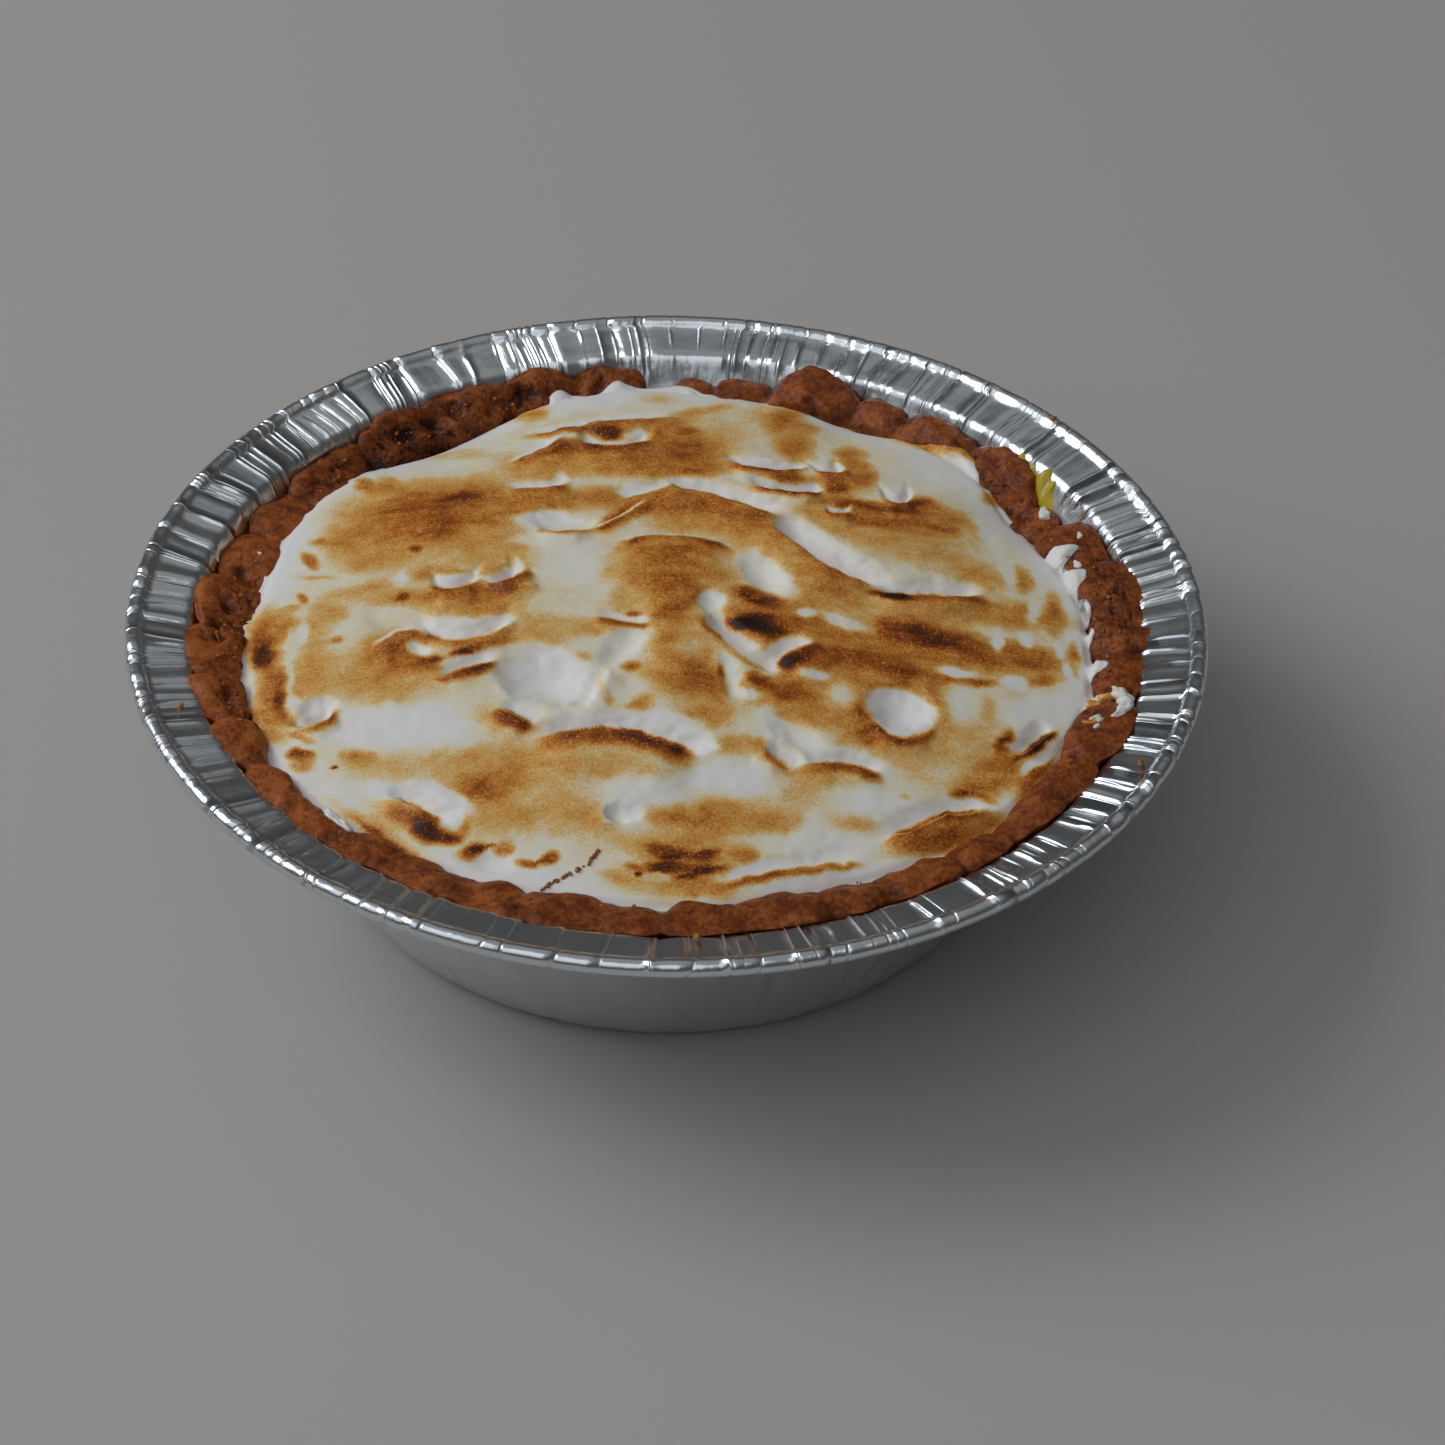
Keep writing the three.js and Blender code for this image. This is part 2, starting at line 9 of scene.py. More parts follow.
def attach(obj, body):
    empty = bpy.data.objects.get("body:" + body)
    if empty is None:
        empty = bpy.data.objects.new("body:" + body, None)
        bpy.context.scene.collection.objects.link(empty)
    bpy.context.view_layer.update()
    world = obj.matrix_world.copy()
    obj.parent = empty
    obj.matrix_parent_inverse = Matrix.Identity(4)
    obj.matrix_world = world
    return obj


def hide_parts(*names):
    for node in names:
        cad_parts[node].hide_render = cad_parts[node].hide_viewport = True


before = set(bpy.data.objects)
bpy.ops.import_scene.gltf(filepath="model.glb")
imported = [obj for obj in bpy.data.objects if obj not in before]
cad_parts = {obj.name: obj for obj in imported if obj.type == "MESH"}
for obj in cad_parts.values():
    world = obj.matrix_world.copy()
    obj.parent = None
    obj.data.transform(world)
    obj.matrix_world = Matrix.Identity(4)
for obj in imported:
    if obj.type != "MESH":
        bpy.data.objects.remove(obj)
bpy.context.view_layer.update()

bl_info = {
    "name": "Lemon Meringue Pie",
    "version": (1, 0, 0),
    "blender": (4, 5, 0),
    "location": "View3D > Sidebar > Pie",
    "description": "Adds a small torched lemon meringue pie in its crimped foil dish",
    "category": "Object",
}

# ---------------------------------------------------------------- sizes in millimetres

MM = 0.001

RIM_HEIGHT = 32.1
BEAD_RADIUS = 1.13
BEAD_CENTRE = (62.35, 30.95)
FLANGE_INNER_RADIUS = 56.4
FLANGE_INNER_HEIGHT = 30
BASE_RADIUS = 39.85
WALL_SLOPE = (FLANGE_INNER_RADIUS - BASE_RADIUS) / FLANGE_INNER_HEIGHT
HALF_FOIL = 0.25
RIM_WARP = 0.3

CRUST_GAP = 0.35
CRUST_TOP = 30
CRUST_FLOOR = 19.5
LUMP_GROOVE = 0.8
LUMP_RISE = 0.6

MERINGUE_RADIUS = 49.7
MERINGUE_EDGE_HEIGHT = 28.3
MERINGUE_DOME = 5
MERINGUE_TUCK = 4
PLAIN_EDGE_HEIGHT = 28.5
PLAIN_RADIUS = 50
EDGE_ROLL = 0.5
DIP_DEPTH = 1.35
FOLD_STRAY = 0.6

# Unevenness of the meringue, as noise layers: how far folds and marks stray from their smooth
# course, the relief of its top and the raggedness of its edge.
STRAY_X = ((4.5, 0.5, 51), (1.5, 0.38, 52), (0.7, 0.2, 55))
STRAY_Y = ((4.5, 0.5, 53), (1.5, 0.38, 54), (0.7, 0.2, 56))
MERINGUE_RELIEF = ((2.6, 0.07, 41), (1.0, 0.035, 42))
RAGGED_EDGE = ((3.6, 0.5, 43), (1.3, 0.28, 44))

# The torch's flame leans: it comes over the front of the pie, so it browns the slopes that
# face the front and leaves the far sides of the folds white.
TORCH_LEAN = 1.256

# Bumps round the pie: middle and half width in degrees, and size.
MERINGUE_REACH = (
    (-143, 34, 1.6), (-42, 34, 1.0), (-14, 12, 0.8), (96, 16, 1.4), (18, 12, -0.8), (172, 16, -1.0),
    (56, 22, 1.0), (31, 8, -1.0),
)
MERINGUE_EDGE_DROPS = ((126, 20, -3.2), (62, 12, -1.8), (27, 13, -1.8))

# The crust's pinched lumps: the angle each one starts at, and how far its top is above CRUST_TOP.
LUMPS = (
    (-177.5, 0.5), (-168, 0.6), (-158, 0.4), (-149, 0.2), (-141, 0.3), (-132, 0.2), (-124, 0.0),
    (-115, 0.2), (-106.5, 0.2), (-98, 0.1), (-90.5, 0.2), (-81, 0.1), (-71.5, 0.1), (-63, 0.0),
    (-54, -0.1), (-45, 0.0), (-36, 0.1), (-27, 0.5), (-15, 0.3), (-6, 0.5), (2, 0.7), (14, -0.1),
    (26.5, -2.4), (31.4, 0.1), (44.3, -0.5), (56.5, -1.0), (63.0, 0.4), (75.4, -1.8), (84.0, -2.2),
    (91, -3.4), (93.5, -0.5), (103.5, -0.1), (113, -0.3), (125, -0.4), (136.6, -1.1), (150.5, -1.3),
    (161, -0.9), (170.5, 0.2),
)

# Where the crust's inner side has sunk, and where its crumb shows: middle and half width in
# degrees, and how much.
SHELVES = ((178, 15, 1.0), (-163, 8, 0.5), (36, 10, 1.0), (132, 24, 1.0), (104, 16, 0.9), (66, 10, 0.5))
POROUS = (
    (2, 18, 0.6), (-30, 14, 0.5), (105, 18, 1.0), (132, 26, 1.3), (178, 16, 0.9), (-160, 12, 0.6),
    (36, 12, 1.0),
)
SLITS = ((6, 16, 1.0), (-12, 10, 0.5))

# Where the crust is lighter, or darker: middle and half width in degrees, and how much.
PALER = ((176, 34, 0.4), (-150, 36, 0.3), (130, 22, -0.2), (0, 44, -0.16), (-85, 40, -0.1))

# Where the crust leans out over the foil's rim, and by how much.
OVERHANG = 0.6

TONGUE_THICKNESS = 0.8

# Tongues of meringue that run out over the crust: middle and half width in degrees, and length.
TONGUES = (
    (18.0, 2.5, 2.8), (12.5, 5.0, 1.5), (5.5, 4.0, 0.8), (-0.5, 2.0, 0.8), (-7.9, 2.6, 1.2),
    (-15.0, 3.0, 1.1), (97.5, 3.6, 1.3), (106.3, 2.6, 1.1), (88.5, 4.0, 1.3), (-166.0, 3.0, 0.5),
)
# A tongue that the torch has browned.
BROWNED_TONGUES = ((45.0, 8.5, 1.8),)

# Holes and dents in the crust: angle in degrees and radius of the middle, half length round the
# pie, half width and depth.
DENTS = (
    (43.2, 51.9, 0.7, 1.5, 1.6), (46.5, 52.6, 1.2, 0.8, 0.7), (-143.6, 51.8, 1.3, 0.8, 1.4),
    (-18.6, 51.4, 0.9, 0.9, 1.3), (-175.0, 52.2, 1.4, 0.9, 0.8), (-163.0, 52.4, 1.6, 0.7, 1.1),
    (177.0, 52.4, 2.2, 1.3, 1.0), (169.0, 52.0, 1.0, 0.8, 0.8), (129.5, 52.0, 2.2, 1.2, 1.2),
    (121.5, 52.4, 1.4, 1.0, 1.0), (110.5, 51.9, 1.2, 1.0, 0.9), (100.5, 51.9, 1.4, 1.0, 0.9),
    (69.0, 50.8, 1.6, 0.8, 0.9), (12.5, 52.6, 1.8, 0.3, 0.7), (9.0, 52.9, 1.2, 0.25, 0.5),
    (6.5, 53.8, 1.4, 0.3, 0.6), (3.0, 52.6, 0.8, 0.3, 0.5), (0.5, 54.0, 0.7, 0.25, 0.4),
    (14.5, 53.8, 0.8, 0.25, 0.5), (-3.5, 54.2, 0.6, 0.3, 0.5),
)

# The lumps run into one another where these bumps are below 0.
LUMP_FADE = (
    (178, 26, -0.3), (-98, 62, -0.75), (-140, 24, -0.5), (-34, 24, -0.4), (0, 30, -0.7), (130, 20, -0.2),
)

# Folds in the meringue's top. Each goes from one place to another, is bowed to the left of its
# way by bow, and rises by rise. It slopes away over front on its right, and drops within back on
# its left, into a dip. The torch has scorched it to a level, over reach on its front slope, and
# leaves bare the meringue behind it. Bows are as the torch sees them.
# from x, y, to x, y, bow, rise, front, back, dip, scorch, reach, bare
FOLDS = (
    (-15.2, -25.4, 4.5, -28.8, 2.9, 1.5, 8.0, 1.5, 1.1, 0.95, 3.0, 5.0),
    (-19.5, -19.8, -14.7, -24.0, 0.6, 0.8, 3.5, 1.2, 0.5, 0.85, 2.2, 3.0),
    (-8.8, -4.2, -1.6, -5.4, -0.3, 0.6, 3.0, 1.0, 0.3, 0.8, 1.3, 1.6),
    (3.4, -2.5, 12.4, -14.4, -1.4, 0.9, 4.0, 1.2, 1.0, 0.6, 0.9, 3.5),
    (12.2, -13.0, 17.5, -7.6, 0.7, 1.2, 6.0, 1.3, 0.7, 1.15, 2.6, 2.2),
    (15.5, -8.8, 29.5, -11.0, 1.3, 0.7, 7.0, 2.2, 0.3, 0.7, 5.0, 0.0),
    (-3.0, 24.2, 14.5, 16.8, 0.7, 1.2, 7.0, 1.5, 1.0, 0.66, 5.0, 4.2),
    (-6.8, 20.6, 0.8, 24.2, -0.9, 0.7, 5.0, 1.2, 0.6, 0.66, 3.0, 2.4),
    (11.4, 17.4, 25.2, 2.8, -1.3, 1.6, 8.0, 1.6, 1.4, 0.6, 2.5, 6.0),
    (23.5, 2.8, 38.0, 4.4, -0.5, 1.1, 4.0, 1.4, 0.9, 0.78, 1.8, 4.0),
    (-34.5, -9.0, -26.0, -7.0, 3.0, 0.9, 3.5, 1.8, 0.3, 0.7, 2.5, 0.8),
    (-30.4, -4.4, -17.0, -4.2, -3.3, 0.9, 3.0, 1.2, 0.8, 0.62, 2.0, 3.2),
    (-26.2, -14.9, -19.3, -12.0, 0.5, 0.7, 3.0, 0.9, 0.6, 0.88, 1.8, 2.0),
    (-9.8, -20.6, -6.2, -13.4, -0.3, 0.5, 2.5, 0.8, 0.6, 0.0, 0.5, 0.0),
    (-28.8, 3.6, -21.8, 4.0, -1.5, 0.9, 4.0, 1.1, 0.9, 0.75, 2.2, 3.0),
    (-22.2, 3.0, -16.6, 6.4, -1.4, 0.9, 4.0, 1.1, 0.9, 0.82, 2.5, 2.6),
    (-20.4, 23.6, -11.6, 25.0, -0.8, 0.7, 6.0, 1.1, 0.5, 0.64, 3.5, 1.8),
    (-16.6, 14.2, -9.0, 14.0, -0.9, 0.7, 3.0, 1.0, 0.6, 0.5, 0.8, 0.0),
    (-10.2, 13.4, -2.3, 20.6, -0.7, 0.45, 3.0, 1.4, 0.2, 0.68, 2.6, 0.6),
    (-6.8, 10.2, 8.6, 9.0, 2.8, 0.8, 9.0, 2.0, 0.1, 0.8, 1.8, 0.6),
    (-12.4, 37.0, -1.6, 36.4, -3.4, 0.9, 6.0, 1.2, 1.1, 0.85, 2.6, 2.4),
    (-20.3, 30.0, -12.6, 37.0, -0.3, 0.6, 4.0, 1.2, 0.3, 0.66, 2.5, 1.5),
    (-19.5, 36.4, 2.0, 42.2, 0.9, 0.7, 3.0, 1.4, 0.2, 0.66, 2.0, 2.5),
    (6.3, 30.6, 17.4, 30.2, -1.6, 0.8, 3.5, 1.0, 0.9, 0.78, 1.8, 2.0),
    (17.6, 29.2, 22.0, 31.2, -1.5, 0.7, 3.0, 0.9, 0.7, 0.75, 2.0, 2.0),
    (9.2, 24.8, 19.8, 24.6, -1.2, 0.9, 3.0, 1.0, 0.8, 0.85, 1.6, 2.2),
    (18.6, 20.6, 22.8, 20.4, -1.2, 0.6, 3.0, 0.8, 0.5, 0.8, 1.0, 1.2),
    (25.6, 24.4, 30.0, 24.8, -1.7, 0.8, 3.5, 1.0, 0.7, 0.78, 1.8, 2.6),
    (24.0, -1.8, 38.0, -5.8, 0.7, 0.6, 5.0, 2.4, 0.2, 0.7, 3.6, 0.0),
    (22.7, -19.8, 31.0, -20.2, -3.1, 0.7, 3.0, 1.0, 0.0, 0.85, 1.6, 0.0),
    (14.8, -29.2, 25.0, -30.2, 1.4, 0.8, 3.5, 1.0, 0.7, 0.85, 1.8, 2.6),
    (10.8, -25.6, 14.8, -29.4, -0.5, 0.6, 3.0, 0.8, 0.6, 0.55, 1.0, 1.8),
    (23.0, -40.2, 38.2, -32.8, 1.5, 1.0, 4.0, 1.2, 0.6, 0.85, 2.0, 3.0),
    (4.6, -47.3, 22.8, -42.4, 0.3, 0.6, 2.5, 1.0, 0.3, 0.8, 0.8, 2.4),
    (40.0, -24.2, 45.2, -18.2, 0.2, 0.6, 2.0, 0.8, 0.6, 1.2, 0.5, 3.0),
    (-42.8, -20.8, -37.6, -18.0, -1.2, 0.7, 2.5, 0.9, 0.7, 0.8, 1.3, 2.4),
    (-32.0, -32.6, -23.6, -38.8, 0.5, 0.8, 3.0, 1.0, 0.7, 0.0, 2.4, 2.2),
    (-6.4, -35.6, -5.0, -38.8, -0.8, 0.35, 2.0, 0.6, 0.6, 0.0, 0.5, 1.6),
)

# Hollows that the spatula's tip and burst bubbles left, and broad swells, which are negative:
# middle x, y, half sizes along and across, turn in degrees, and depth.
HOLLOWS = (
    (-13.5, -16.0, 7.4, 4.8, -35, 1.8), (26.8, -18.6, 4.4, 4.0, 0, 1.4),
    (8.5, -8.5, 7.0, 2.4, -52, 0.8), (11.5, -10.5, 3.5, 2.5, 30, 0.6), (11.5, 4.5, 5.5, 2.8, -72, 0.9),
    (7.5, -15.5, 4.5, 1.5, -75, 0.6), (-28.0, -8.8, 2.4, 1.8, -40, 0.9),
    (-13.0, 15.8, 4.8, 2.4, -15, 0.7), (-4.4, -37.2, 2.4, 1.6, 0, 0.6),
    (13.8, -27.6, 2.6, 1.8, -50, 0.8), (-40.0, -18.4, 2.6, 2.2, 0, 0.8), (4.8, -1.4, 2.2, 2.4, 0, 0.8),
    (-7.0, 35.2, 3.8, 2.0, 0, 0.6), (3.2, -26.4, 2.8, 2.2, 0, 0.7), (-19.5, -44.0, 3.8, 2.2, 10, 0.5),
    (-5.0, -9.8, 5.0, 2.6, 60, 0.8), (14.5, -23.5, 5.0, 2.5, -50, 0.5),
    (0.5, -8.0, 15.0, 6.0, 92, -1.1), (0.0, 4.0, 11.0, 9.0, 0, -0.7), (-28.0, 18.0, 15.0, 9.0, 0, -0.7),
    (-7.0, -33.0, 15.0, 7.0, -6, -0.5), (28.0, 13.0, 12.0, 7.0, -10, -0.6),
    (-4.0, 31.0, 14.0, 6.0, 0, -0.6),
)

# Scorch marks in the order they are laid on, as the torch sees the top: middle x, y, half sizes
# along and across, turn in degrees, scorch level and softness. Level 0 is white, 0.35 tan,
# 0.6 brown, 0.9 dark brown and 1.2 burnt.
MARKS = (
    (-12.0, -29.0, 14.0, 3.6, -4, 0.36, 0.7), (-20.2, -32.2, 4.6, 3.8, 0, 0.62, 0.9),
    (-16.0, -37.0, 9.0, 3.2, 5, 0.36, 0.8), (-8.5, -37.0, 5.0, 3.4, -30, 0.36, 0.7),
    (-28.0, -28.6, 7.5, 2.6, 0, 0.3, 0.8), (-20.7, -32.8, 2.4, 2.0, 0, 0.68, 0.9),
    (-29.4, -35.2, 3.2, 2.4, -25, 0.5, 0.7), (-28.6, -36.2, 2.0, 1.1, -30, 0.66, 0.8),
    (-26.3, -36.6, 1.5, 1.2, 0, 0.76, 0.6), (-26.2, -38.4, 2.2, 1.4, -38, 0.85, 0.5),
    (-26.4, -38.2, 1.5, 0.9, -40, 1.08, 0.6), (-23.7, -39.7, 1.3, 1.1, 20, 0.78, 0.5),
    (-23.7, -39.6, 0.8, 0.7, 0, 1.02, 0.6), (-22.3, -38.6, 1.0, 0.8, 50, 0.6, 0.8),
    (-21.4, -42.0, 1.5, 1.1, 20, 0.72, 0.6), (-20.6, -41.7, 0.9, 0.6, 0, 1.0, 0.6),
    (-19.2, -41.4, 0.9, 0.25, 10, 0.8, 0.6), (-17.6, -41.9, 1.0, 1.1, -40, 0.6, 0.7),
    (-15.0, -44.0, 1.2, 0.6, -5, 0.62, 0.6), (-12.5, -43.2, 1.1, 0.7, 35, 0.68, 0.6),
    (-13.7, -43.7, 0.8, 0.2, 30, 0.7, 0.6), (-34.4, -26.6, 2.2, 1.4, -20, 0.52, 0.7),
    (-31.0, -38.9, 6.0, 0.9, -41.5, 0.45, 0.8), (-30.6, -39.4, 4.6, 0.42, -41.5, 0.78, 0.7),
    (-41.2, -25.1, 1.7, 0.9, -15, 0.75, 0.5), (-40.8, -26.6, 1.5, 1.3, 0, 0.45, 0.7),
    (-37.1, -27.9, 0.4, 0.2, 0, 1.1, 0.5), (-19.0, -21.9, 4.6, 2.0, -10, 0.42, 0.8),
    (-17.2, -21.8, 1.8, 1.3, -40, 0.85, 0.7), (-46.9, -4.5, 1.9, 5.4, 4, 0.68, 0.5),
    (-45.4, -13.5, 1.8, 6.0, 8, 0.62, 0.5), (-46.9, -7.3, 1.1, 1.8, 0, 1.02, 0.7),
    (-45.0, -2.2, 1.6, 3.0, 0, 0.52, 0.6), (-44.2, -16.5, 0.8, 3.4, 14, 0.85, 0.6),
    (-46.0, -18.3, 2.2, 1.6, -20, 0.5, 0.7), (-41.5, -12.0, 1.9, 5.0, 0, 0.42, 0.7),
    (-41.2, -3.0, 1.8, 3.2, 0, 0.42, 0.7), (-38.3, -20.4, 1.1, 1.8, -20, 0.78, 0.5),
    (-42.4, -19.8, 0.9, 0.9, 0, 0.62, 0.6), (-41.5, -22.4, 2.0, 0.5, -35, 0.6, 0.6),
    (-45.0, -21.6, 2.4, 1.1, -30, 0.42, 0.7), (-33.0, -13.0, 8.5, 4.8, -10, 0.44, 0.7),
    (-31.6, -8.2, 3.4, 3.4, 0, 0.66, 0.5), (-29.0, -11.2, 3.4, 1.6, -20, 0.68, 0.6),
    (-27.4, -10.8, 1.6, 0.7, -20, 0.92, 0.5), (-23.2, -9.6, 2.0, 0.9, 28, 1.0, 0.5),
    (-20.2, -8.4, 3.0, 1.1, 15, 0.72, 0.6), (-16.5, -6.8, 4.0, 2.2, 20, 0.5, 0.8),
    (-13.5, -6.5, 4.0, 3.2, 0, 0.3, 0.8), (-24.2, -14.2, 2.0, 0.9, 20, 0.85, 0.5),
    (-22.5, -13.8, 2.4, 1.2, 20, 0.6, 0.7), (-38.6, -6.0, 0.8, 0.7, 0, 0.5, 0.6),
    (-39.5, -0.5, 2.4, 1.6, -40, 0.42, 0.7), (-7.5, -6.5, 3.4, 1.5, -10, 0.42, 0.8),
    (-9.0, -11.8, 1.8, 1.0, -20, 0.45, 0.8), (-18.0, -11.8, 1.3, 0.8, 0, 0.28, 0.8),
    (-31.0, 1.2, 7.0, 1.8, 0, 0.45, 0.7), (-22.0, 0.8, 6.5, 1.9, 5, 0.72, 0.5),
    (-19.5, 1.8, 1.6, 1.2, 0, 0.85, 0.7), (-24.5, -1.2, 4.4, 1.8, 0, 0.45, 0.7),
    (-20.3, -1.6, 3.2, 2.4, 0, 0.55, 0.7), (-31.2, 1.0, 0.9, 0.8, 30, 0.75, 0.6),
    (-28.3, 5.6, 2.2, 1.6, 0, 0.62, 0.7), (-24.9, 5.0, 1.6, 0.8, -20, 0.62, 0.7),
    (-20.9, 5.2, 1.4, 2.2, 0, 0.5, 0.7), (-24.0, 8.6, 6.0, 3.0, 0, 0.35, 0.8),
    (-36.0, 3.6, 4.4, 1.4, 10, 0.4, 0.7), (-43.0, 10.8, 0.9, 2.2, 30, 0.62, 0.5),
    (-41.2, 14.6, 2.2, 0.9, -15, 0.6, 0.6), (-43.4, 3.0, 0.6, 1.2, 35, 0.6, 0.6),
    (-44.9, 1.2, 1.6, 0.7, 20, 0.35, 0.7), (-42.0, 7.0, 2.4, 0.6, -10, 0.32, 0.8),
    (-29.5, 19.0, 10.5, 6.6, -8, 0.6, 0.4), (-35.6, 14.5, 5.6, 4.6, 0, 0.54, 0.5),
    (-34.0, 10.0, 4.8, 3.4, 0, 0.46, 0.7), (-26.2, 21.6, 5.4, 2.8, 0, 0.78, 0.8),
    (-25.2, 22.2, 1.8, 1.2, 0, 0.88, 0.8), (-27.8, 15.4, 5.0, 2.6, 10, 0.7, 0.7),
    (-30.3, 10.8, 0.7, 0.7, 0, 0.82, 0.6), (-21.6, 12.2, 4.0, 3.4, 0, 0.46, 0.8),
    (-19.6, 8.0, 3.6, 3.2, 0, 0.38, 0.8), (-16.5, 20.0, 8.0, 3.0, 4, 0.56, 0.6),
    (-9.0, 20.8, 4.0, 1.8, 0, 0.56, 0.8), (-35.0, 26.6, 1.6, 2.4, 10, 0.46, 0.8),
    (-37.5, 26.8, 1.0, 2.4, 20, 0.56, 0.6), (-26.0, 25.6, 5.5, 2.2, 0, 0.46, 0.8),
    (-25.0, 33.5, 3.0, 1.6, 0, 0.26, 0.9), (0.5, 4.6, 7.6, 5.8, 0, 0.57, 0.6),
    (0.6, 9.4, 4.6, 1.4, 0, 0.72, 0.8), (0.5, 1.4, 2.6, 3.6, 0, 0.7, 0.8),
    (-5.2, -1.6, 1.8, 2.0, 0, 0.42, 0.7), (-4.0, -4.2, 1.0, 0.8, 0, 0.7, 0.7),
    (0.4, -3.6, 2.6, 4.2, 0, 0.7, 0.7), (1.2, -10.0, 3.6, 4.4, 0, 0.5, 0.6),
    (1.6, -14.4, 4.4, 5.0, 0, 0.48, 0.6), (2.8, -14.6, 1.8, 3.0, 10, 0.68, 0.8),
    (5.6, -16.8, 1.6, 2.6, 10, 0.62, 0.7), (-4.2, -13.6, 1.0, 0.9, 0, 0.72, 0.6),
    (6.4, -14.0, 0.6, 1.4, 0, 0.78, 0.6), (-3.0, -20.2, 1.6, 1.8, 0, 0.55, 0.6),
    (-7.2, -18.2, 0.9, 3.2, 20, 0.6, 0.6), (-10.0, -21.2, 2.0, 1.1, -20, 0.5, 0.7),
    (-5.3, -22.0, 1.1, 1.8, 15, 0.4, 0.8), (4.6, -21.4, 3.4, 2.2, 0, 0.5, 0.7),
    (7.5, -26.2, 2.6, 1.8, 10, 0.42, 0.8), (11.2, -26.4, 1.6, 1.6, -40, 0.5, 0.7),
    (11.2, -3.8, 5.6, 3.8, -8, 0.66, 0.6), (12.6, -6.4, 2.2, 1.4, 20, 0.88, 0.7),
    (7.8, -5.4, 1.5, 1.2, 0, 1.35, 0.5), (11.0, -4.8, 2.3, 1.8, 0, 1.35, 0.5),
    (11.9, -0.4, 3.4, 1.4, -12, 1.2, 0.6), (9.6, 0.8, 2.0, 1.0, -30, 0.85, 0.7),
    (15.5, -4.2, 4.6, 1.5, -5, 0.7, 0.7), (14.0, -11.2, 1.9, 1.1, 42, 1.25, 0.5),
    (16.5, -9.6, 2.8, 1.8, 20, 1.0, 0.7), (21.0, -11.4, 9.5, 3.4, -8, 0.66, 0.7),
    (27.5, -11.8, 4.4, 2.4, -12, 0.7, 0.9), (20.5, -6.6, 4.6, 1.8, -8, 0.6, 0.7),
    (29.6, -5.2, 7.0, 3.4, -12, 0.74, 0.8), (30.6, -5.4, 4.0, 2.0, -12, 1.0, 1.0),
    (24.0, -14.2, 7.0, 1.6, -8, 0.5, 0.8), (13.4, -16.6, 4.6, 2.9, -10, 0.7, 0.6),
    (10.8, -15.2, 1.8, 1.0, -25, 0.9, 0.6), (15.5, -20.6, 5.0, 1.8, -8, 0.52, 0.7),
    (27.0, -20.5, 7.2, 5.6, 0, 0.58, 0.5), (26.5, -24.0, 5.0, 1.8, 0, 0.76, 0.7),
    (22.8, -21.0, 1.6, 2.8, 10, 0.7, 0.7), (31.4, -17.0, 1.2, 3.2, 10, 0.62, 0.6),
    (16.0, -31.2, 5.5, 2.4, -8, 0.44, 0.7), (28.0, -27.5, 4.0, 2.6, 0, 0.26, 0.9),
    (26.8, -32.4, 0.6, 0.6, 0, 0.55, 0.5), (4.0, -37.2, 5.4, 3.4, 0, 0.56, 0.6),
    (12.4, -37.6, 4.0, 2.0, 0, 0.46, 0.8), (21.4, -36.6, 3.2, 2.2, 0, 0.38, 0.9),
    (15.0, -34.0, 4.0, 1.6, 0, 0.3, 0.9), (2.0, -42.6, 5.4, 2.0, -4, 0.62, 0.7),
    (1.0, -46.4, 6.0, 2.0, -6, 0.45, 0.8), (3.6, -47.0, 3.4, 1.4, -10, 0.52, 0.8),
    (-5.2, -46.0, 2.0, 0.8, -20, 0.4, 0.8), (-0.4, -42.6, 1.6, 1.1, -30, 0.86, 0.7),
    (2.6, -43.0, 3.0, 0.8, -8, 0.84, 0.6), (4.6, -42.7, 1.4, 0.5, 20, 0.98, 0.7),
    (0.6, -43.4, 1.2, 0.35, 10, 1.05, 0.7), (0.4, -44.8, 2.9, 0.75, 2, 0.92, 0.6),
    (-0.4, -44.7, 1.0, 0.4, 20, 1.08, 0.7), (5.2, -44.9, 2.8, 0.75, 4, 0.92, 0.6),
    (4.4, -45.0, 0.9, 0.4, 0, 1.1, 0.7), (6.8, -45.2, 0.5, 0.9, 20, 1.0, 0.7),
    (-2.9, -45.7, 0.35, 0.3, 0, 1.2, 0.5), (-3.4, -44.8, 1.0, 0.5, -30, 0.66, 0.7),
    (2.6, -46.0, 1.3, 0.4, 10, 0.85, 0.7), (9.0, -43.0, 1.6, 1.3, 0, 0.52, 0.8),
    (13.0, -43.7, 0.4, 0.25, 0, 1.2, 0.5), (34.0, -23.0, 4.6, 6.5, -20, 0.3, 0.8),
    (38.6, -22.0, 0.8, 2.2, -25, 0.95, 0.6), (38.2, -25.8, 4.4, 2.6, 40, 0.58, 0.5),
    (35.4, -29.0, 3.4, 2.0, 35, 0.55, 0.6), (42.0, -26.6, 1.2, 4.6, -32, 0.7, 0.5),
    (34.2, -31.6, 2.4, 0.9, -8, 0.9, 0.5), (30.5, -38.2, 7.4, 1.8, 22, 0.66, 0.5),
    (35.5, -36.0, 3.4, 1.2, 35, 0.55, 0.6), (43.0, -7.0, 3.8, 2.4, 25, 0.68, 0.6),
    (40.2, -5.4, 2.6, 1.8, 0, 0.62, 0.7), (37.5, -8.6, 2.0, 2.2, 0, 0.66, 0.7),
    (47.8, -5.4, 0.7, 2.8, 0, 0.62, 0.6), (34.6, -12.6, 3.4, 0.9, 5, 0.64, 0.6),
    (43.0, -10.6, 2.8, 0.9, 25, 0.55, 0.7), (42.5, -21.3, 3.6, 0.7, 49, 1.25, 0.6),
    (34.0, -8.8, 5.0, 1.6, -8, 0.6, 0.8), (36.6, -17.5, 1.0, 2.8, -15, 0.3, 0.8),
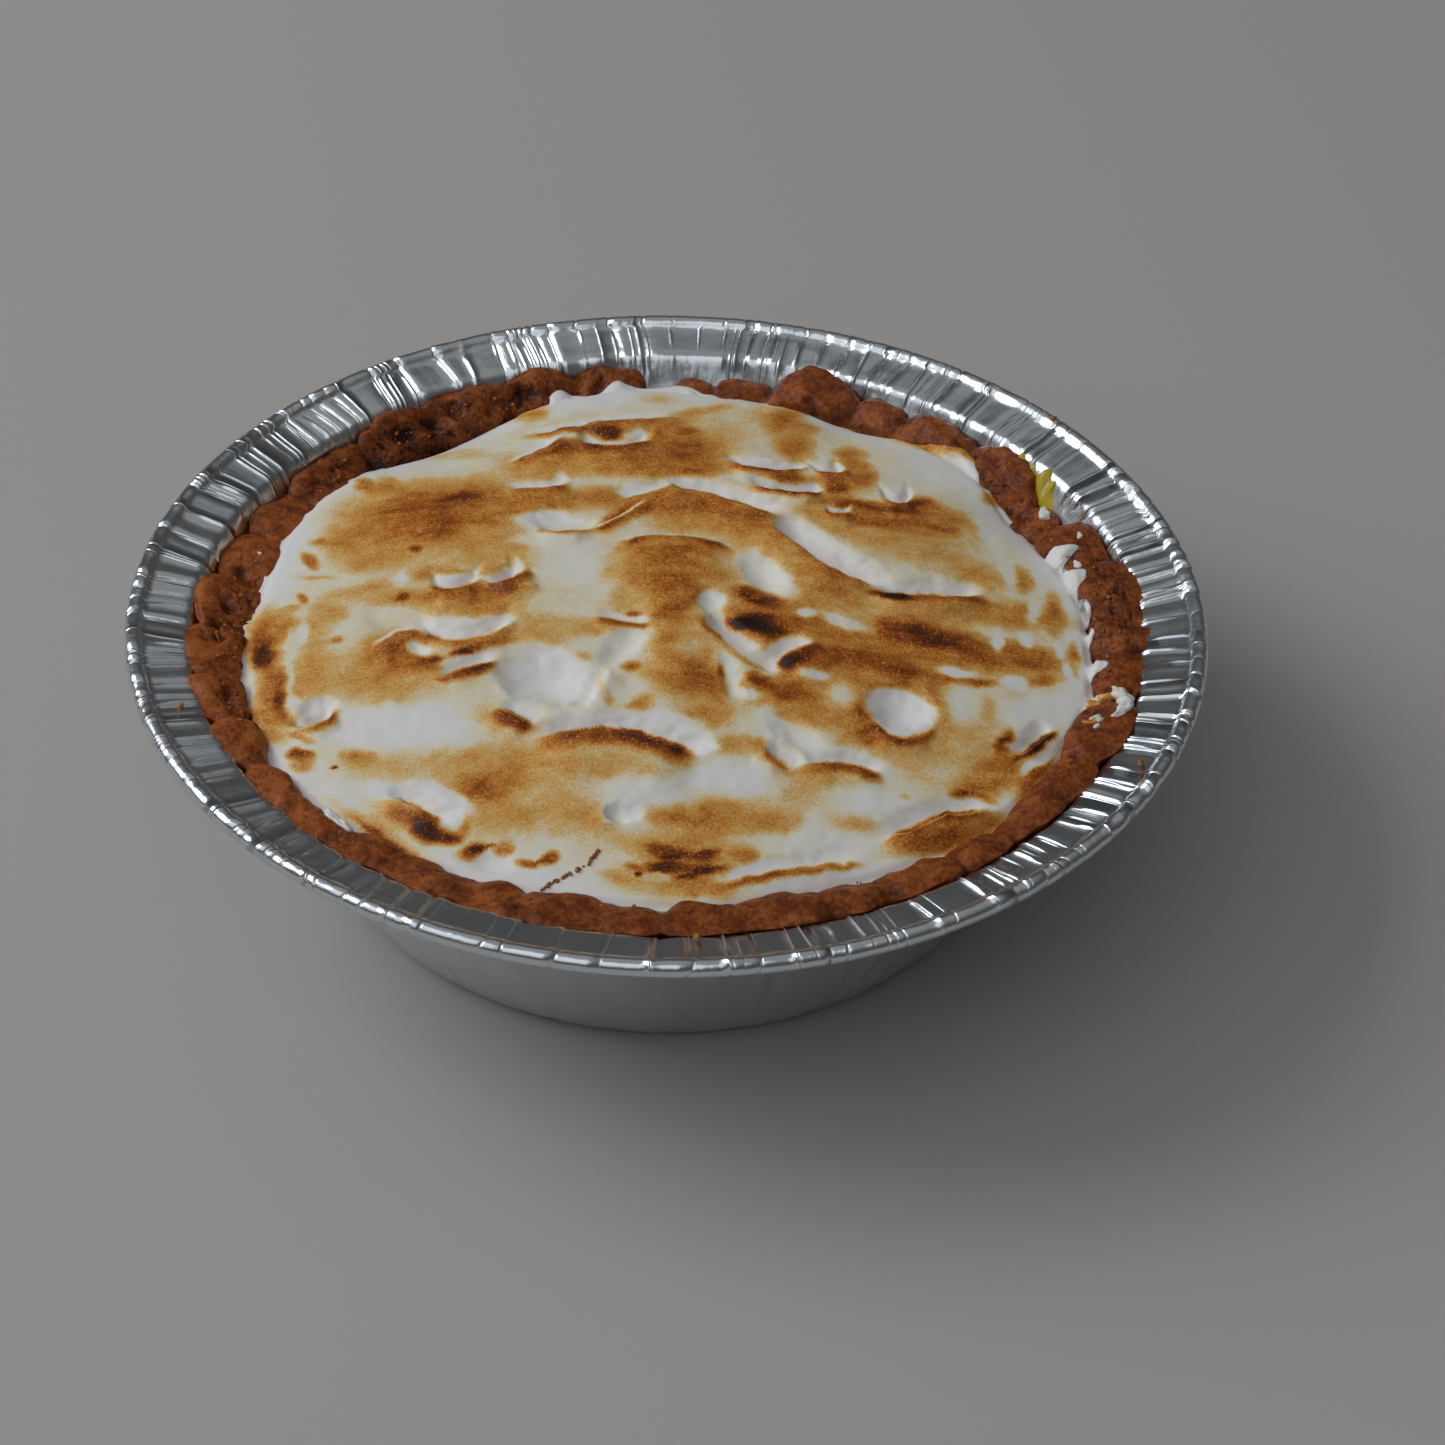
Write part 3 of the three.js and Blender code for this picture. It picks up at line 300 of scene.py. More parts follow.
    (36.0, 0.6, 6.5, 2.0, 0, 0.56, 0.7), (42.0, 1.8, 5.0, 2.4, 0, 0.56, 0.7),
    (45.8, 2.5, 1.1, 4.4, 0, 0.55, 0.6), (30.0, 0.2, 6.0, 1.6, -4, 0.46, 0.8),
    (26.2, 2.3, 2.6, 0.9, 0, 1.25, 0.6), (33.0, 3.0, 4.5, 0.6, 0, 0.72, 0.7),
    (36.6, 8.4, 4.4, 3.0, -10, 0.46, 0.7), (42.6, 9.2, 1.4, 3.0, 10, 0.5, 0.6),
    (19.0, 2.6, 5.0, 3.2, -20, 0.5, 0.7), (15.4, 8.0, 2.6, 5.4, 40, 0.5, 0.6),
    (9.5, 14.2, 5.0, 3.0, -20, 0.5, 0.6), (5.0, 18.0, 7.5, 4.2, -20, 0.58, 0.5),
    (0.0, 20.2, 6.5, 3.0, 0, 0.6, 0.6), (-5.4, 17.2, 1.5, 4.2, -48, 0.74, 0.6),
    (2.5, 14.6, 5.4, 1.6, 0, 0.42, 0.8), (10.4, 10.6, 1.6, 3.4, 20, 0.46, 0.7),
    (16.0, -0.6, 4.4, 1.8, 0, 0.5, 0.7), (28.5, 13.6, 7.5, 4.4, -10, 0.44, 0.6),
    (20.5, 15.8, 5.5, 1.8, -10, 0.4, 0.8), (25.5, 18.6, 9.0, 1.9, -6, 0.66, 0.6),
    (33.4, 18.2, 1.6, 1.0, 0, 0.85, 0.7), (25.0, 21.4, 7.0, 1.2, -4, 0.78, 0.6),
    (30.6, 22.6, 2.6, 2.0, 0, 0.86, 0.6), (33.6, 20.2, 3.4, 3.0, 0, 0.6, 0.7),
    (20.6, 25.6, 2.0, 3.4, 0, 0.72, 0.6), (23.6, 29.0, 1.8, 4.2, 0, 0.6, 0.6),
    (22.4, 33.4, 2.0, 3.0, 0, 0.5, 0.7), (14.0, 27.0, 3.4, 1.5, -8, 0.74, 0.7),
    (9.0, 28.8, 2.8, 1.0, 0, 0.6, 0.8), (15.4, 35.6, 2.4, 4.2, 0, 0.62, 0.6),
    (7.0, 38.5, 5.6, 7.0, 0, 0.26, 0.8), (2.1, 38.3, 1.4, 1.0, 0, 0.66, 0.7),
    (13.2, 43.4, 3.0, 2.8, -40, 0.42, 0.8), (16.6, 41.0, 2.2, 1.6, -40, 0.5, 0.8),
    (-8.0, 31.2, 11.0, 3.6, 4, 0.64, 0.5), (-8.6, 32.8, 7.4, 1.8, 0, 0.72, 0.8),
    (-1.0, 31.6, 5.6, 3.6, 0, 0.66, 0.8), (2.4, 33.2, 3.6, 3.4, 0, 0.66, 0.8),
    (-13.6, 34.6, 2.6, 2.0, 30, 0.82, 0.7), (1.5, 27.6, 5.0, 1.6, 0, 0.7, 0.7),
    (-6.0, 27.8, 8.0, 2.2, 0, 0.5, 0.8), (-14.5, 28.6, 5.0, 2.6, 10, 0.46, 0.8),
    (-8.6, 38.2, 4.2, 1.5, 6, 0.86, 0.6), (-7.4, 36.8, 1.3, 2.2, -20, 0.92, 0.6),
    (-15.0, 38.2, 3.2, 0.9, 14, 0.74, 0.6), (-0.5, 38.2, 2.8, 2.8, 0, 0.6, 0.7),
    (-3.0, 40.8, 6.0, 1.1, 8, 0.6, 0.7), (3.0, 43.8, 5.0, 1.0, 28, 0.42, 0.8),
    (-17.6, 44.2, 1.9, 2.8, 0, 0.5, 0.8), (-1.6, 47.6, 2.4, 1.8, 0, 0.28, 0.9),
    (40.0, 27.2, 1.4, 1.5, 0, 0.5, 0.7), (34.5, 37.6, 5.6, 1.1, -18, 0.5, 0.6),
    (38.6, 35.4, 2.4, 1.1, -35, 0.66, 0.6), (14.0, 42.6, 1.8, 3.2, -20, 0.6, 0.7),
    (-28.0, 34.5, 3.0, 1.2, 10, 0.22, 0.9),
)

# Bare places laid over the scorch marks, in the same form.
BARE = (
    (2.6, -10.0, 1.8, 1.7, 0, 0.24, 0.7), (-4.2, -17.0, 2.2, 1.6, 20, 0.1, 0.7),
    (-13.0, -15.8, 7.0, 4.4, -35, 0.0, 0.5), (-5.4, -9.8, 5.0, 2.8, 62, 0.04, 0.5),
    (-25.2, -34.0, 4.4, 1.5, -35, 0.0, 0.5), (-23.8, -36.2, 1.2, 2.6, 0, 0.0, 0.5),
    (-30.5, -32.2, 4.0, 1.3, -18, 0.0, 0.6), (-1.0, -46.3, 1.8, 0.75, -2, 0.22, 0.3),
    (-28.6, -9.0, 2.0, 1.1, -48, 0.0, 0.4), (-24.0, -5.2, 6.4, 1.8, -4, 0.02, 0.5),
    (-22.8, -11.5, 3.4, 0.8, 10, 0.0, 0.5), (-30.5, -22.0, 9.5, 3.8, -6, 0.0, 0.5),
    (-43.6, -10.0, 0.5, 7.5, 2, 0.12, 0.6), (-40.4, -18.2, 1.9, 2.0, 0, 0.0, 0.5),
    (-42.6, -4.0, 0.7, 2.2, 0, 0.05, 0.6), (-42.8, -16.6, 0.8, 1.6, 10, 0.05, 0.6),
    (4.9, -1.0, 1.7, 2.0, -15, 0.0, 0.45), (8.9, -10.2, 5.4, 1.6, -52, 0.0, 0.45),
    (12.4, -10.6, 1.2, 4.0, -32, 0.0, 0.45), (7.3, -14.0, 0.9, 3.4, 10, 0.04, 0.5),
    (9.2, -17.6, 1.8, 1.0, -10, 0.06, 0.5), (13.0, 4.0, 2.0, 3.6, 20, 0.02, 0.5),
    (10.4, 6.4, 1.6, 4.0, 4, 0.04, 0.6), (16.2, -2.5, 1.3, 0.9, -10, 0.04, 0.5),
    (21.0, -4.0, 3.0, 1.0, -28, 0.06, 0.6), (17.0, -13.8, 1.9, 0.9, -15, 0.0, 0.6),
    (20.2, -16.8, 1.2, 1.8, 20, 0.12, 0.7), (26.8, -18.8, 4.0, 3.6, 0, 0.0, 0.2),
    (13.9, -27.8, 2.2, 1.2, -48, 0.0, 0.5), (11.6, -22.6, 1.4, 3.4, 18, 0.03, 0.6),
    (14.6, -24.6, 4.4, 1.3, -18, 0.02, 0.6), (21.0, -27.6, 5.0, 1.4, -16, 0.02, 0.6),
    (3.2, -26.4, 2.6, 2.0, 0, 0.0, 0.4), (0.5, -23.6, 4.5, 2.2, -20, 0.0, 0.5),
    (7.4, -31.6, 6.0, 2.6, 0, 0.0, 0.6), (-2.0, -33.6, 6.0, 2.2, -10, 0.02, 0.7),
    (-4.6, -36.6, 2.2, 2.6, 20, 0.0, 0.6), (18.0, -40.6, 6.0, 2.2, 0, 0.02, 0.6),
    (16.5, -38.0, 1.4, 3.0, -20, 0.06, 0.7), (24.0, -33.8, 6.0, 2.2, 0, 0.02, 0.7),
    (33.6, -33.8, 3.6, 0.9, 14, 0.0, 0.4), (42.5, -24.2, 3.4, 0.7, 48, 0.0, 0.4),
    (42.5, -17.0, 3.4, 3.6, 0, 0.02, 0.5), (33.6, -11.2, 2.0, 0.9, -10, 0.0, 0.5),
    (40.4, -11.4, 1.4, 1.3, 30, 0.0, 0.5), (38.5, -4.4, 0.7, 1.9, -10, 0.0, 0.5),
    (42.1, -3.2, 1.0, 1.6, 0, 0.0, 0.5), (46.1, -4.0, 0.6, 1.7, 0, 0.0, 0.5),
    (46.6, -7.6, 0.6, 1.3, 0, 0.0, 0.5), (43.4, 3.0, 0.8, 3.2, -5, 0.1, 0.6),
    (33.8, -16.5, 2.2, 3.0, 0, 0.06, 0.7), (-14.4, 16.0, 4.2, 2.0, -10, 0.0, 0.45),
    (-13.5, 10.6, 5.0, 1.6, -14, 0.08, 0.7), (-11.0, 6.0, 2.6, 4.0, 0, 0.04, 0.7),
    (-25.0, 3.6, 2.6, 1.4, -5, 0.0, 0.35), (-18.9, 4.2, 1.0, 2.2, -32, 0.0, 0.4),
    (-31.6, 4.8, 0.9, 1.4, 0, 0.05, 0.7), (-4.2, 22.4, 1.8, 1.6, 30, 0.0, 0.5),
    (-13.3, 25.4, 0.9, 1.8, 0, 0.04, 0.6), (-17.5, 24.3, 1.8, 0.9, 0, 0.08, 0.6),
    (-6.6, 34.6, 3.6, 1.1, 0, 0.0, 0.4), (-3.8, 36.8, 0.8, 1.8, -10, 0.0, 0.5),
    (-12.9, 36.8, 1.4, 0.8, 10, 0.04, 0.6), (-16.5, 34.6, 3.0, 1.8, 25, 0.05, 0.6),
    (11.0, 30.8, 1.7, 0.9, -10, 0.02, 0.5), (15.0, 29.6, 1.7, 0.9, 0, 0.0, 0.4),
    (18.9, 30.6, 0.6, 2.6, 0, 0.03, 0.5), (20.9, 30.2, 0.7, 1.5, -10, 0.05, 0.5),
    (10.6, 25.6, 2.6, 0.8, -6, 0.06, 0.6), (17.6, 24.3, 1.8, 1.1, -20, 0.02, 0.5),
    (20.7, 19.8, 1.7, 0.6, -4, 0.02, 0.5), (27.9, 25.4, 1.8, 2.4, 0, 0.04, 0.5),
    (36.6, 15.4, 0.8, 3.4, 14, 0.2, 0.7), (40.4, 12.5, 1.0, 6.0, 4, 0.08, 0.6),
    (38.6, 22.0, 1.6, 6.0, 10, 0.04, 0.6),
)

# The softness in a row is multiplied by the first factor where its level is below BARE_LEVEL, and
# otherwise by the second where its half sizes multiply to more than SMALL_MARK.
BARE_LEVEL, BARE_SOFTNESS = 0.2, 0.85
SMALL_MARK, MARK_SOFTNESS = 5, 1.3

# A pale halo lies round each mark whose half sizes multiply to more than HALO_LEAST.
HALO_LEAST = 2
HALO_ALONG, HALO_ACROSS = 2.2, 2.0
HALO_SHARE, HALO_MOST = 0.3, 0.17
HALO_SOFTNESS = 1.6

# Sweeps that bend the torch's streaks, and how uneven the folds' scorching is, as noise layers.
SWEEP_X, SWEEP_Y = ((12, 5, 57),), ((14, 7, 58),)
UNEVEN_FOLDS = ((2.4, 0.25, 61),)
STREAK_STRENGTH = 0.09

# ---------------------------------------------------------------- numbers and noise


def smooth(value):
    value = np.clip(value, 0, 1)
    return value * value * (3 - 2 * value)


def bumps_at(angle, bumps):
    """The sum of smooth bumps round the pie at angles in radians."""
    total = np.zeros_like(angle)
    for middle, half, size in bumps:
        turn = angle - math.radians(middle)
        turn = np.abs(np.arctan2(np.sin(turn), np.cos(turn)))
        total += size * (1 - smooth(turn / math.radians(half)))
    return total


def hashed(ix, iy, iz, seed):
    """Repeatable values between -1 and 1 at whole-numbered places."""
    mix = (ix * 374761393 + iy * 668265263 + iz * 1274126177 + seed * 144664661) & 0xFFFFFFFF
    mix = ((mix ^ (mix >> 13)) * 1103515245) & 0xFFFFFFFF
    mix = ((mix ^ (mix >> 15)) * 846930887) & 0xFFFFFFFF
    return ((mix ^ (mix >> 16)) & 0xFFFF) / 32767.5 - 1


def noise(points, size, seed):
    """Smooth noise between -1 and 1 whose features are about one size, at points (n, 3)."""
    place = points / size
    cell = np.floor(place).astype(np.int64)
    part = smooth(place - cell)
    total = np.zeros(len(points))
    for corner in range(8):
        step = np.array((corner & 1, corner >> 1 & 1, corner >> 2))
        weight = np.prod(np.where(step, part, 1 - part), axis=1)
        total += weight * hashed(*(cell + step).T, seed)
    return total


def flat_noise(x, y, size, seed):
    return noise(np.stack([x, y, np.zeros_like(x)], 1), size, seed)


def layered_noise(points, layers):
    """Noises laid over one another: each layer has a size, a strength and a seed."""
    return sum(strength * noise(points, size, seed) for size, strength, seed in layers)


def flat_layers(x, y, layers):
    return layered_noise(np.stack([x, y, np.zeros_like(x)], 1), layers)


def ring(angle, radius):
    """x and y at angles on a circle round the pie."""
    return radius * np.cos(angle), radius * np.sin(angle)


def at_angle(radius, angle, height):
    return np.stack([radius * np.cos(angle), radius * np.sin(angle), height], -1)


# ---------------------------------------------------------------- meshes


def add_piece(name, points, faces, material, slot, replaces=None, **values):
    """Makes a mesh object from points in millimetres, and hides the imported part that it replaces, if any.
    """
    mesh = bpy.data.meshes.new(name)
    mesh.from_pydata((np.asarray(points) * MM).tolist(), [], faces)
    for key, value in values.items():
        value = np.asarray(value, np.float32)
        if value.ndim == 2:
            mesh.attributes.new(key, "FLOAT_VECTOR", "POINT").data.foreach_set("vector", value.ravel())
        else:
            mesh.attributes.new(key, "FLOAT", "POINT").data.foreach_set("value", value)
    mesh.materials.append(material)
    mesh.validate()
    mesh.shade_smooth()
    piece = bpy.data.objects.new(name, mesh)
    bpy.context.scene.collection.objects.link(piece)
    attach(piece, "root")
    if replaces:
        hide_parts(replaces)
    return piece


def tube_faces(rows, columns):
    """Faces of rows of points that close round, with the end rows closed by a fan each.

    The points are the rows one after the other, then the first end's middle and the last's.
    Faces point outwards when the rows go up and the columns go anticlockwise from above.
    """
    faces = []
    for row in range(rows - 1):
        start = row * columns
        for column in range(columns):
            after = (column + 1) % columns
            faces.append((start + column, start + after, start + columns + after, start + columns + column))
    first_middle = rows * columns
    last = (rows - 1) * columns
    for column in range(columns):
        after = (column + 1) % columns
        faces.append((after, column, first_middle))
        faces.append((last + column, last + after, first_middle + 1))
    return faces


def grid_normals(grid):
    """Unit normals of a grid of points (rows, columns, 3) that closes round its columns."""
    along = np.gradient(grid, axis=0)
    around = np.roll(grid, -1, axis=1) - np.roll(grid, 1, axis=1)
    normal = np.cross(around, along)
    return normal / np.maximum(np.linalg.norm(normal, axis=2, keepdims=True), 1e-9)


# ---------------------------------------------------------------- materials


def new_material(name, colour, roughness, metallic=0.0):
    material = bpy.data.materials.new(name)
    material.use_nodes = True
    shader = material.node_tree.nodes["Principled BSDF"]
    shader.inputs["Base Color"].default_value = (*colour, 1)
    shader.inputs["Roughness"].default_value = roughness
    shader.inputs["Metallic"].default_value = metallic
    return material, material.node_tree, shader


def add_node(tree, kind, **settings):
    """A shader node whose settings are its properties, or its inputs' values by name."""
    node = tree.nodes.new(kind)
    for key, value in settings.items():
        if hasattr(node, key):
            setattr(node, key, value)
        else:
            node.inputs[key.replace("_", " ")].default_value = value
    return node


def noise_node(tree, size_mm, detail=2.0, vector=None):
    """Noise with features of about a size in millimetres."""
    node = add_node(tree, "ShaderNodeTexNoise", Scale=1 / (size_mm * MM), Detail=detail)
    if vector is None:
        vector = add_node(tree, "ShaderNodeTexCoord").outputs["Object"]
    tree.links.new(vector, node.inputs["Vector"])
    return node.outputs["Fac"]


def attribute_node(tree, name, output="Fac"):
    node = add_node(tree, "ShaderNodeAttribute")
    node.attribute_name = name
    return node.outputs[output]


def maths(tree, operation, first, second=0.0, third=0.0, clamp=False):
    node = add_node(tree, "ShaderNodeMath")
    node.operation = operation
    node.use_clamp = clamp
    for socket, value in zip(node.inputs, (first, second, third)):
        if isinstance(value, (int, float)):
            socket.default_value = value
        else:
            tree.links.new(value, socket)
    return node.outputs[0]


def ramp_node(tree, factor, stops):
    """A colour ramp with stops (place, colour)."""
    node = add_node(tree, "ShaderNodeValToRGB")
    elements = node.color_ramp.elements
    while len(elements) < len(stops):
        elements.new(0.5)
    for element, (place, colour) in zip(elements, stops):
        element.position = place
        element.color = (*colour, 1)
    tree.links.new(factor, node.inputs["Fac"])
    return node.outputs["Color"]


def add_bump(tree, shader, height, strength, distance_mm):
    node = add_node(tree, "ShaderNodeBump")
    node.inputs["Strength"].default_value = strength
    node.inputs["Distance"].default_value = distance_mm * MM
    tree.links.new(height, node.inputs["Height"])
    tree.links.new(node.outputs["Normal"], shader.inputs["Normal"])
    return node


# ---------------------------------------------------------------- foil dish

# The foil's middle line from the base panel to the bead.
FOIL_LINE = (
    (12.0, 1.05), (28.0, 1.05), (32.0, 1.05), (32.8, 0.95), (33.6, 0.45), (34.6, 0.25), (36.4, 0.25),
    (38.2, 0.25), (39.4, 0.55), (40.1, 1.05),
)
WALL_HEIGHTS = (2.5, 5, 8, 11, 14, 16.5, 18.5, 20.5, 22.5, 24, 25.3, 26.4, 27.3, 28.1, 28.8, 29.3)
FLANGE_CORNER = ((56.25, 29.65), (56.5, 29.88), (56.85, 30.03))
FLANGE_ROWS = 9
FLANGE_OUTER = (61.2, 30.9)
BEAD_ROWS = 15
BEAD_ANGLES = (-150, 150)

# How a pleat stands up across its width: places in half widths, and share of its height.
PLEAT_SHAPE = ((-1.6, 0), (-0.7, 0.3), (-0.25, 0.95), (0.2, 1), (0.6, 0.3), (1.4, 0))
PLEAT_REACH = 1.6
PLEAT_TAPER = 1.7
RIM_MIDDLE = 59.0

FOIL_SEED = 5
# What each pleat is drawn from: the gap up to the next one as a share of the mean gap, its half
# width, its share of the greatest height, the height of its foot on the wall, the radii between
# which it runs, and the depth of its crease in the bead.
PLEAT_GAPS = (0.26, 0.34, 0.45, 0.6, 0.9, 1.2, 1.5, 2.0)
GAP_SPREAD = (0.8, 1.2)
PLEAT_HALF_WIDTHS = (0.1, 0.26)
PLEAT_SHARES = (0.4, 1.0)
PLEAT_FEET = (22, 28)
PLEAT_ENDS = ((50, 65), (50, 65), (56.3, 65), (56.8, 61.8), (56.0, 60.4), (50, 60.6), (58.6, 65))
PLEAT_END_SHIFTS = (-0.5, 0.5)
BEAD_CREASES = (0.05, 0.2)
MOST_OF_GAP = 0.2
CREASED_SHARE = 0.8
FADED_SHARE = 0.7
LAST_GAP = 0.3

# The foil between two pleats: how it tilts over at most its reach, how far its columns are from
# flat, how far apart they are, and what stands for their pleat.
PANEL_TILTS = (-0.16, 0.16)
PANEL_TILT_REACH = 1.2
PANEL_LEVELS = (-0.04, 0.04)
PANEL_STEP = 1.2
PANEL_ENDS = (28, 50, 65)
PANEL_CREASE = -0.4

# Pleats stand wider apart, or closer, round the dish, and are flatter at the front. The foil is
# crumpled at the back and the right.
PLEAT_SPREAD = ((-104, 26, 0.7), (-165, 15, -0.3), (-38, 24, -0.3), (150, 30, -0.2), (22, 14, -0.2))
PLEAT_FADE = ((-102, 26, -0.65), (-75, 16, -0.3))
CRUMPLED = ((66, 20, 1.0), (40, 12, 0.5), (118, 16, 0.5))


def wall_radius(height):
    return BASE_RADIUS + WALL_SLOPE * height


def rim_warp(angle, height):
    """The rim is not quite level: it rises and falls a little, more towards the top."""
    return RIM_WARP * np.sin(2 * angle + 0.6) * smooth(height / RIM_HEIGHT)


def foil_line():
    """The foil's middle line as points, and its unit directions towards the pie."""
    line = list(FOIL_LINE)
    line += [(wall_radius(height), height) for height in WALL_HEIGHTS]
    line += FLANGE_CORNER
    start, end = FLANGE_CORNER[-1], FLANGE_OUTER
    for row in range(1, FLANGE_ROWS):
        part = row / (FLANGE_ROWS - 1)
        line.append((start[0] + (end[0] - start[0]) * part, start[1] + (end[1] - start[1]) * part))
    line = np.array(line)
    way = np.gradient(line, axis=0)
    way /= np.linalg.norm(way, axis=1, keepdims=True)
    return line, np.stack([-way[:, 1], way[:, 0]], 1)


def pleat_columns(random, angle, gap, pleat_height):
    """A pleat's half width, and its columns."""
    half = min(random.uniform(*PLEAT_HALF_WIDTHS), MOST_OF_GAP * gap)
    size = pleat_height * random.uniform(*PLEAT_SHARES) * half / PLEAT_HALF_WIDTHS[1]
    size *= 1 + bumps_at(np.array([angle]), PLEAT_FADE)[0] * (random.random() < FADED_SHARE)
    foot = random.uniform(*PLEAT_FEET)
    first, last = PLEAT_ENDS[random.integers(len(PLEAT_ENDS))]
    first, last = first + random.uniform(*PLEAT_END_SHIFTS), last + random.uniform(*PLEAT_END_SHIFTS)
    crease = random.uniform(*BEAD_CREASES) if random.random() < CREASED_SHARE else 0
    side = random.choice((-1, 1))
    columns = []
    for place, share in PLEAT_SHAPE[::side]:
        across = (side * place + PLEAT_REACH) * half / RIM_MIDDLE
        columns.append((angle + across, share * size, foot, first, last, share * crease, share))
    return half, columns


def panel_columns(random, angle, gap, half):
    """The columns of the flat foil that follows a pleat."""
    start, end = 2 * PLEAT_REACH * half, 0.999 * gap
    tilt = random.uniform(*PANEL_TILTS) * min(0.5 * gap, PANEL_TILT_REACH)
    steps = max(1, int(gap / PANEL_STEP))
    columns = []
    for step in range(steps + 1):
        across = start + (end - start) * (step + 0.15) / (steps + 0.15)
        level = tilt * (1 - 2 * step / steps) + random.uniform(*PANEL_LEVELS)
        columns.append((angle + across / RIM_MIDDLE, level, *PANEL_ENDS, PANEL_CREASE * level, 0))
    return columns


def foil_columns(pleat_gap, pleat_height):
    """The foil's columns, anticlockwise: pleats with some flat columns after each.

    For each column: its angle, how far it stands proud, the height at which its pleat starts,
    the radii between which the pleat runs over the rim, the crease that it puts in the bead, and
    how much of a ridge it is.
    """
    random = np.random.default_rng(FOIL_SEED)
    columns = []
    angle = -math.pi
    while angle < math.pi - LAST_GAP * pleat_gap / RIM_MIDDLE:
        spread = 1 + bumps_at(np.array([angle]), PLEAT_SPREAD)[0]
        gap = pleat_gap * spread * random.choice(PLEAT_GAPS) * random.uniform(*GAP_SPREAD)
        gap = min(gap, (math.pi - angle) * RIM_MIDDLE)
        half, pleat = pleat_columns(random, angle, gap, pleat_height)
        columns += pleat + panel_columns(random, angle, gap, half)
        angle += gap / RIM_MIDDLE
    return np.array(columns).T


# Unevenness of the foil, as noise layers, and other measures of it. Noise round the rim is taken
# on a circle of RIM_NOISE_RADIUS.
RIM_NOISE_RADIUS = 60
FOIL_LEAN = ((6, 0.14, 24),)
FOIL_DENTS = ((7, 1, 21), (3, 0.6, 22))
DENT_DEPTH, CRUMPLED_DEPTH = 0.12, 0.1
CRUMPLE_LEVEL, CRUMPLE_DEPTH = 0.22, 0.35
FLUTE_DEPTH, FLUTE_SLANT, FLUTE_SPACING = 0.24, 0.005, 2.2
BEAD_RIPPLE = ((3.5, 0.03, 23),)
BEAD_SLANT = 0.008
PLEATED_BEAD_RADIUS = BEAD_RADIUS - 0.08
PLEAT_TOP = 29.9


def foil_relief(angle, turned, radius, height, size, foot, first, last):
    """How far pleats, dents and flutes raise the foil, and the share of its pleat at each point."""
    rim_x, rim_y = ring(angle, RIM_NOISE_RADIUS)
    shape = turned.shape
    on_flange = smooth((BEAD_CENTRE[0] - 0.9 - radius) / 0.8)
    share = smooth((height - foot) / (PLEAT_TOP - foot)) * (0.35 + 0.65 * on_flange)
    share = share * smooth((radius - first) / PLEAT_TAPER) * smooth((last - radius) / PLEAT_TAPER)
    at = at_angle(radius + 0 * angle, turned, height + 0 * angle).reshape(-1, 3)
    crumpled = bumps_at(angle, CRUMPLED)
    rough = smooth((height - 2) / 10) * (DENT_DEPTH + CRUMPLED_DEPTH * crumpled)
    dents = layered_noise(at, FOIL_DENTS).reshape(shape) * rough
    sharp = (CRUMPLE_LEVEL - np.abs(noise(at, 2.2, 25))).reshape(shape) * CRUMPLE_DEPTH * crumpled * on_flange
    slant = angle + FLUTE_SLANT * height * flat_noise(rim_x, rim_y, 9, 28)
    ribs = at_angle(RIM_NOISE_RADIUS, slant, 0.22 * height + 0 * angle).reshape(-1, 3)
    flutes = FLUTE_DEPTH * noise(ribs, FLUTE_SPACING, 29).reshape(shape)
    flutes = flutes * smooth(height / 5) * smooth((29.5 - height) / 4)
    return size * share + dents + flutes + sharp * smooth((height - 28) / 2), share


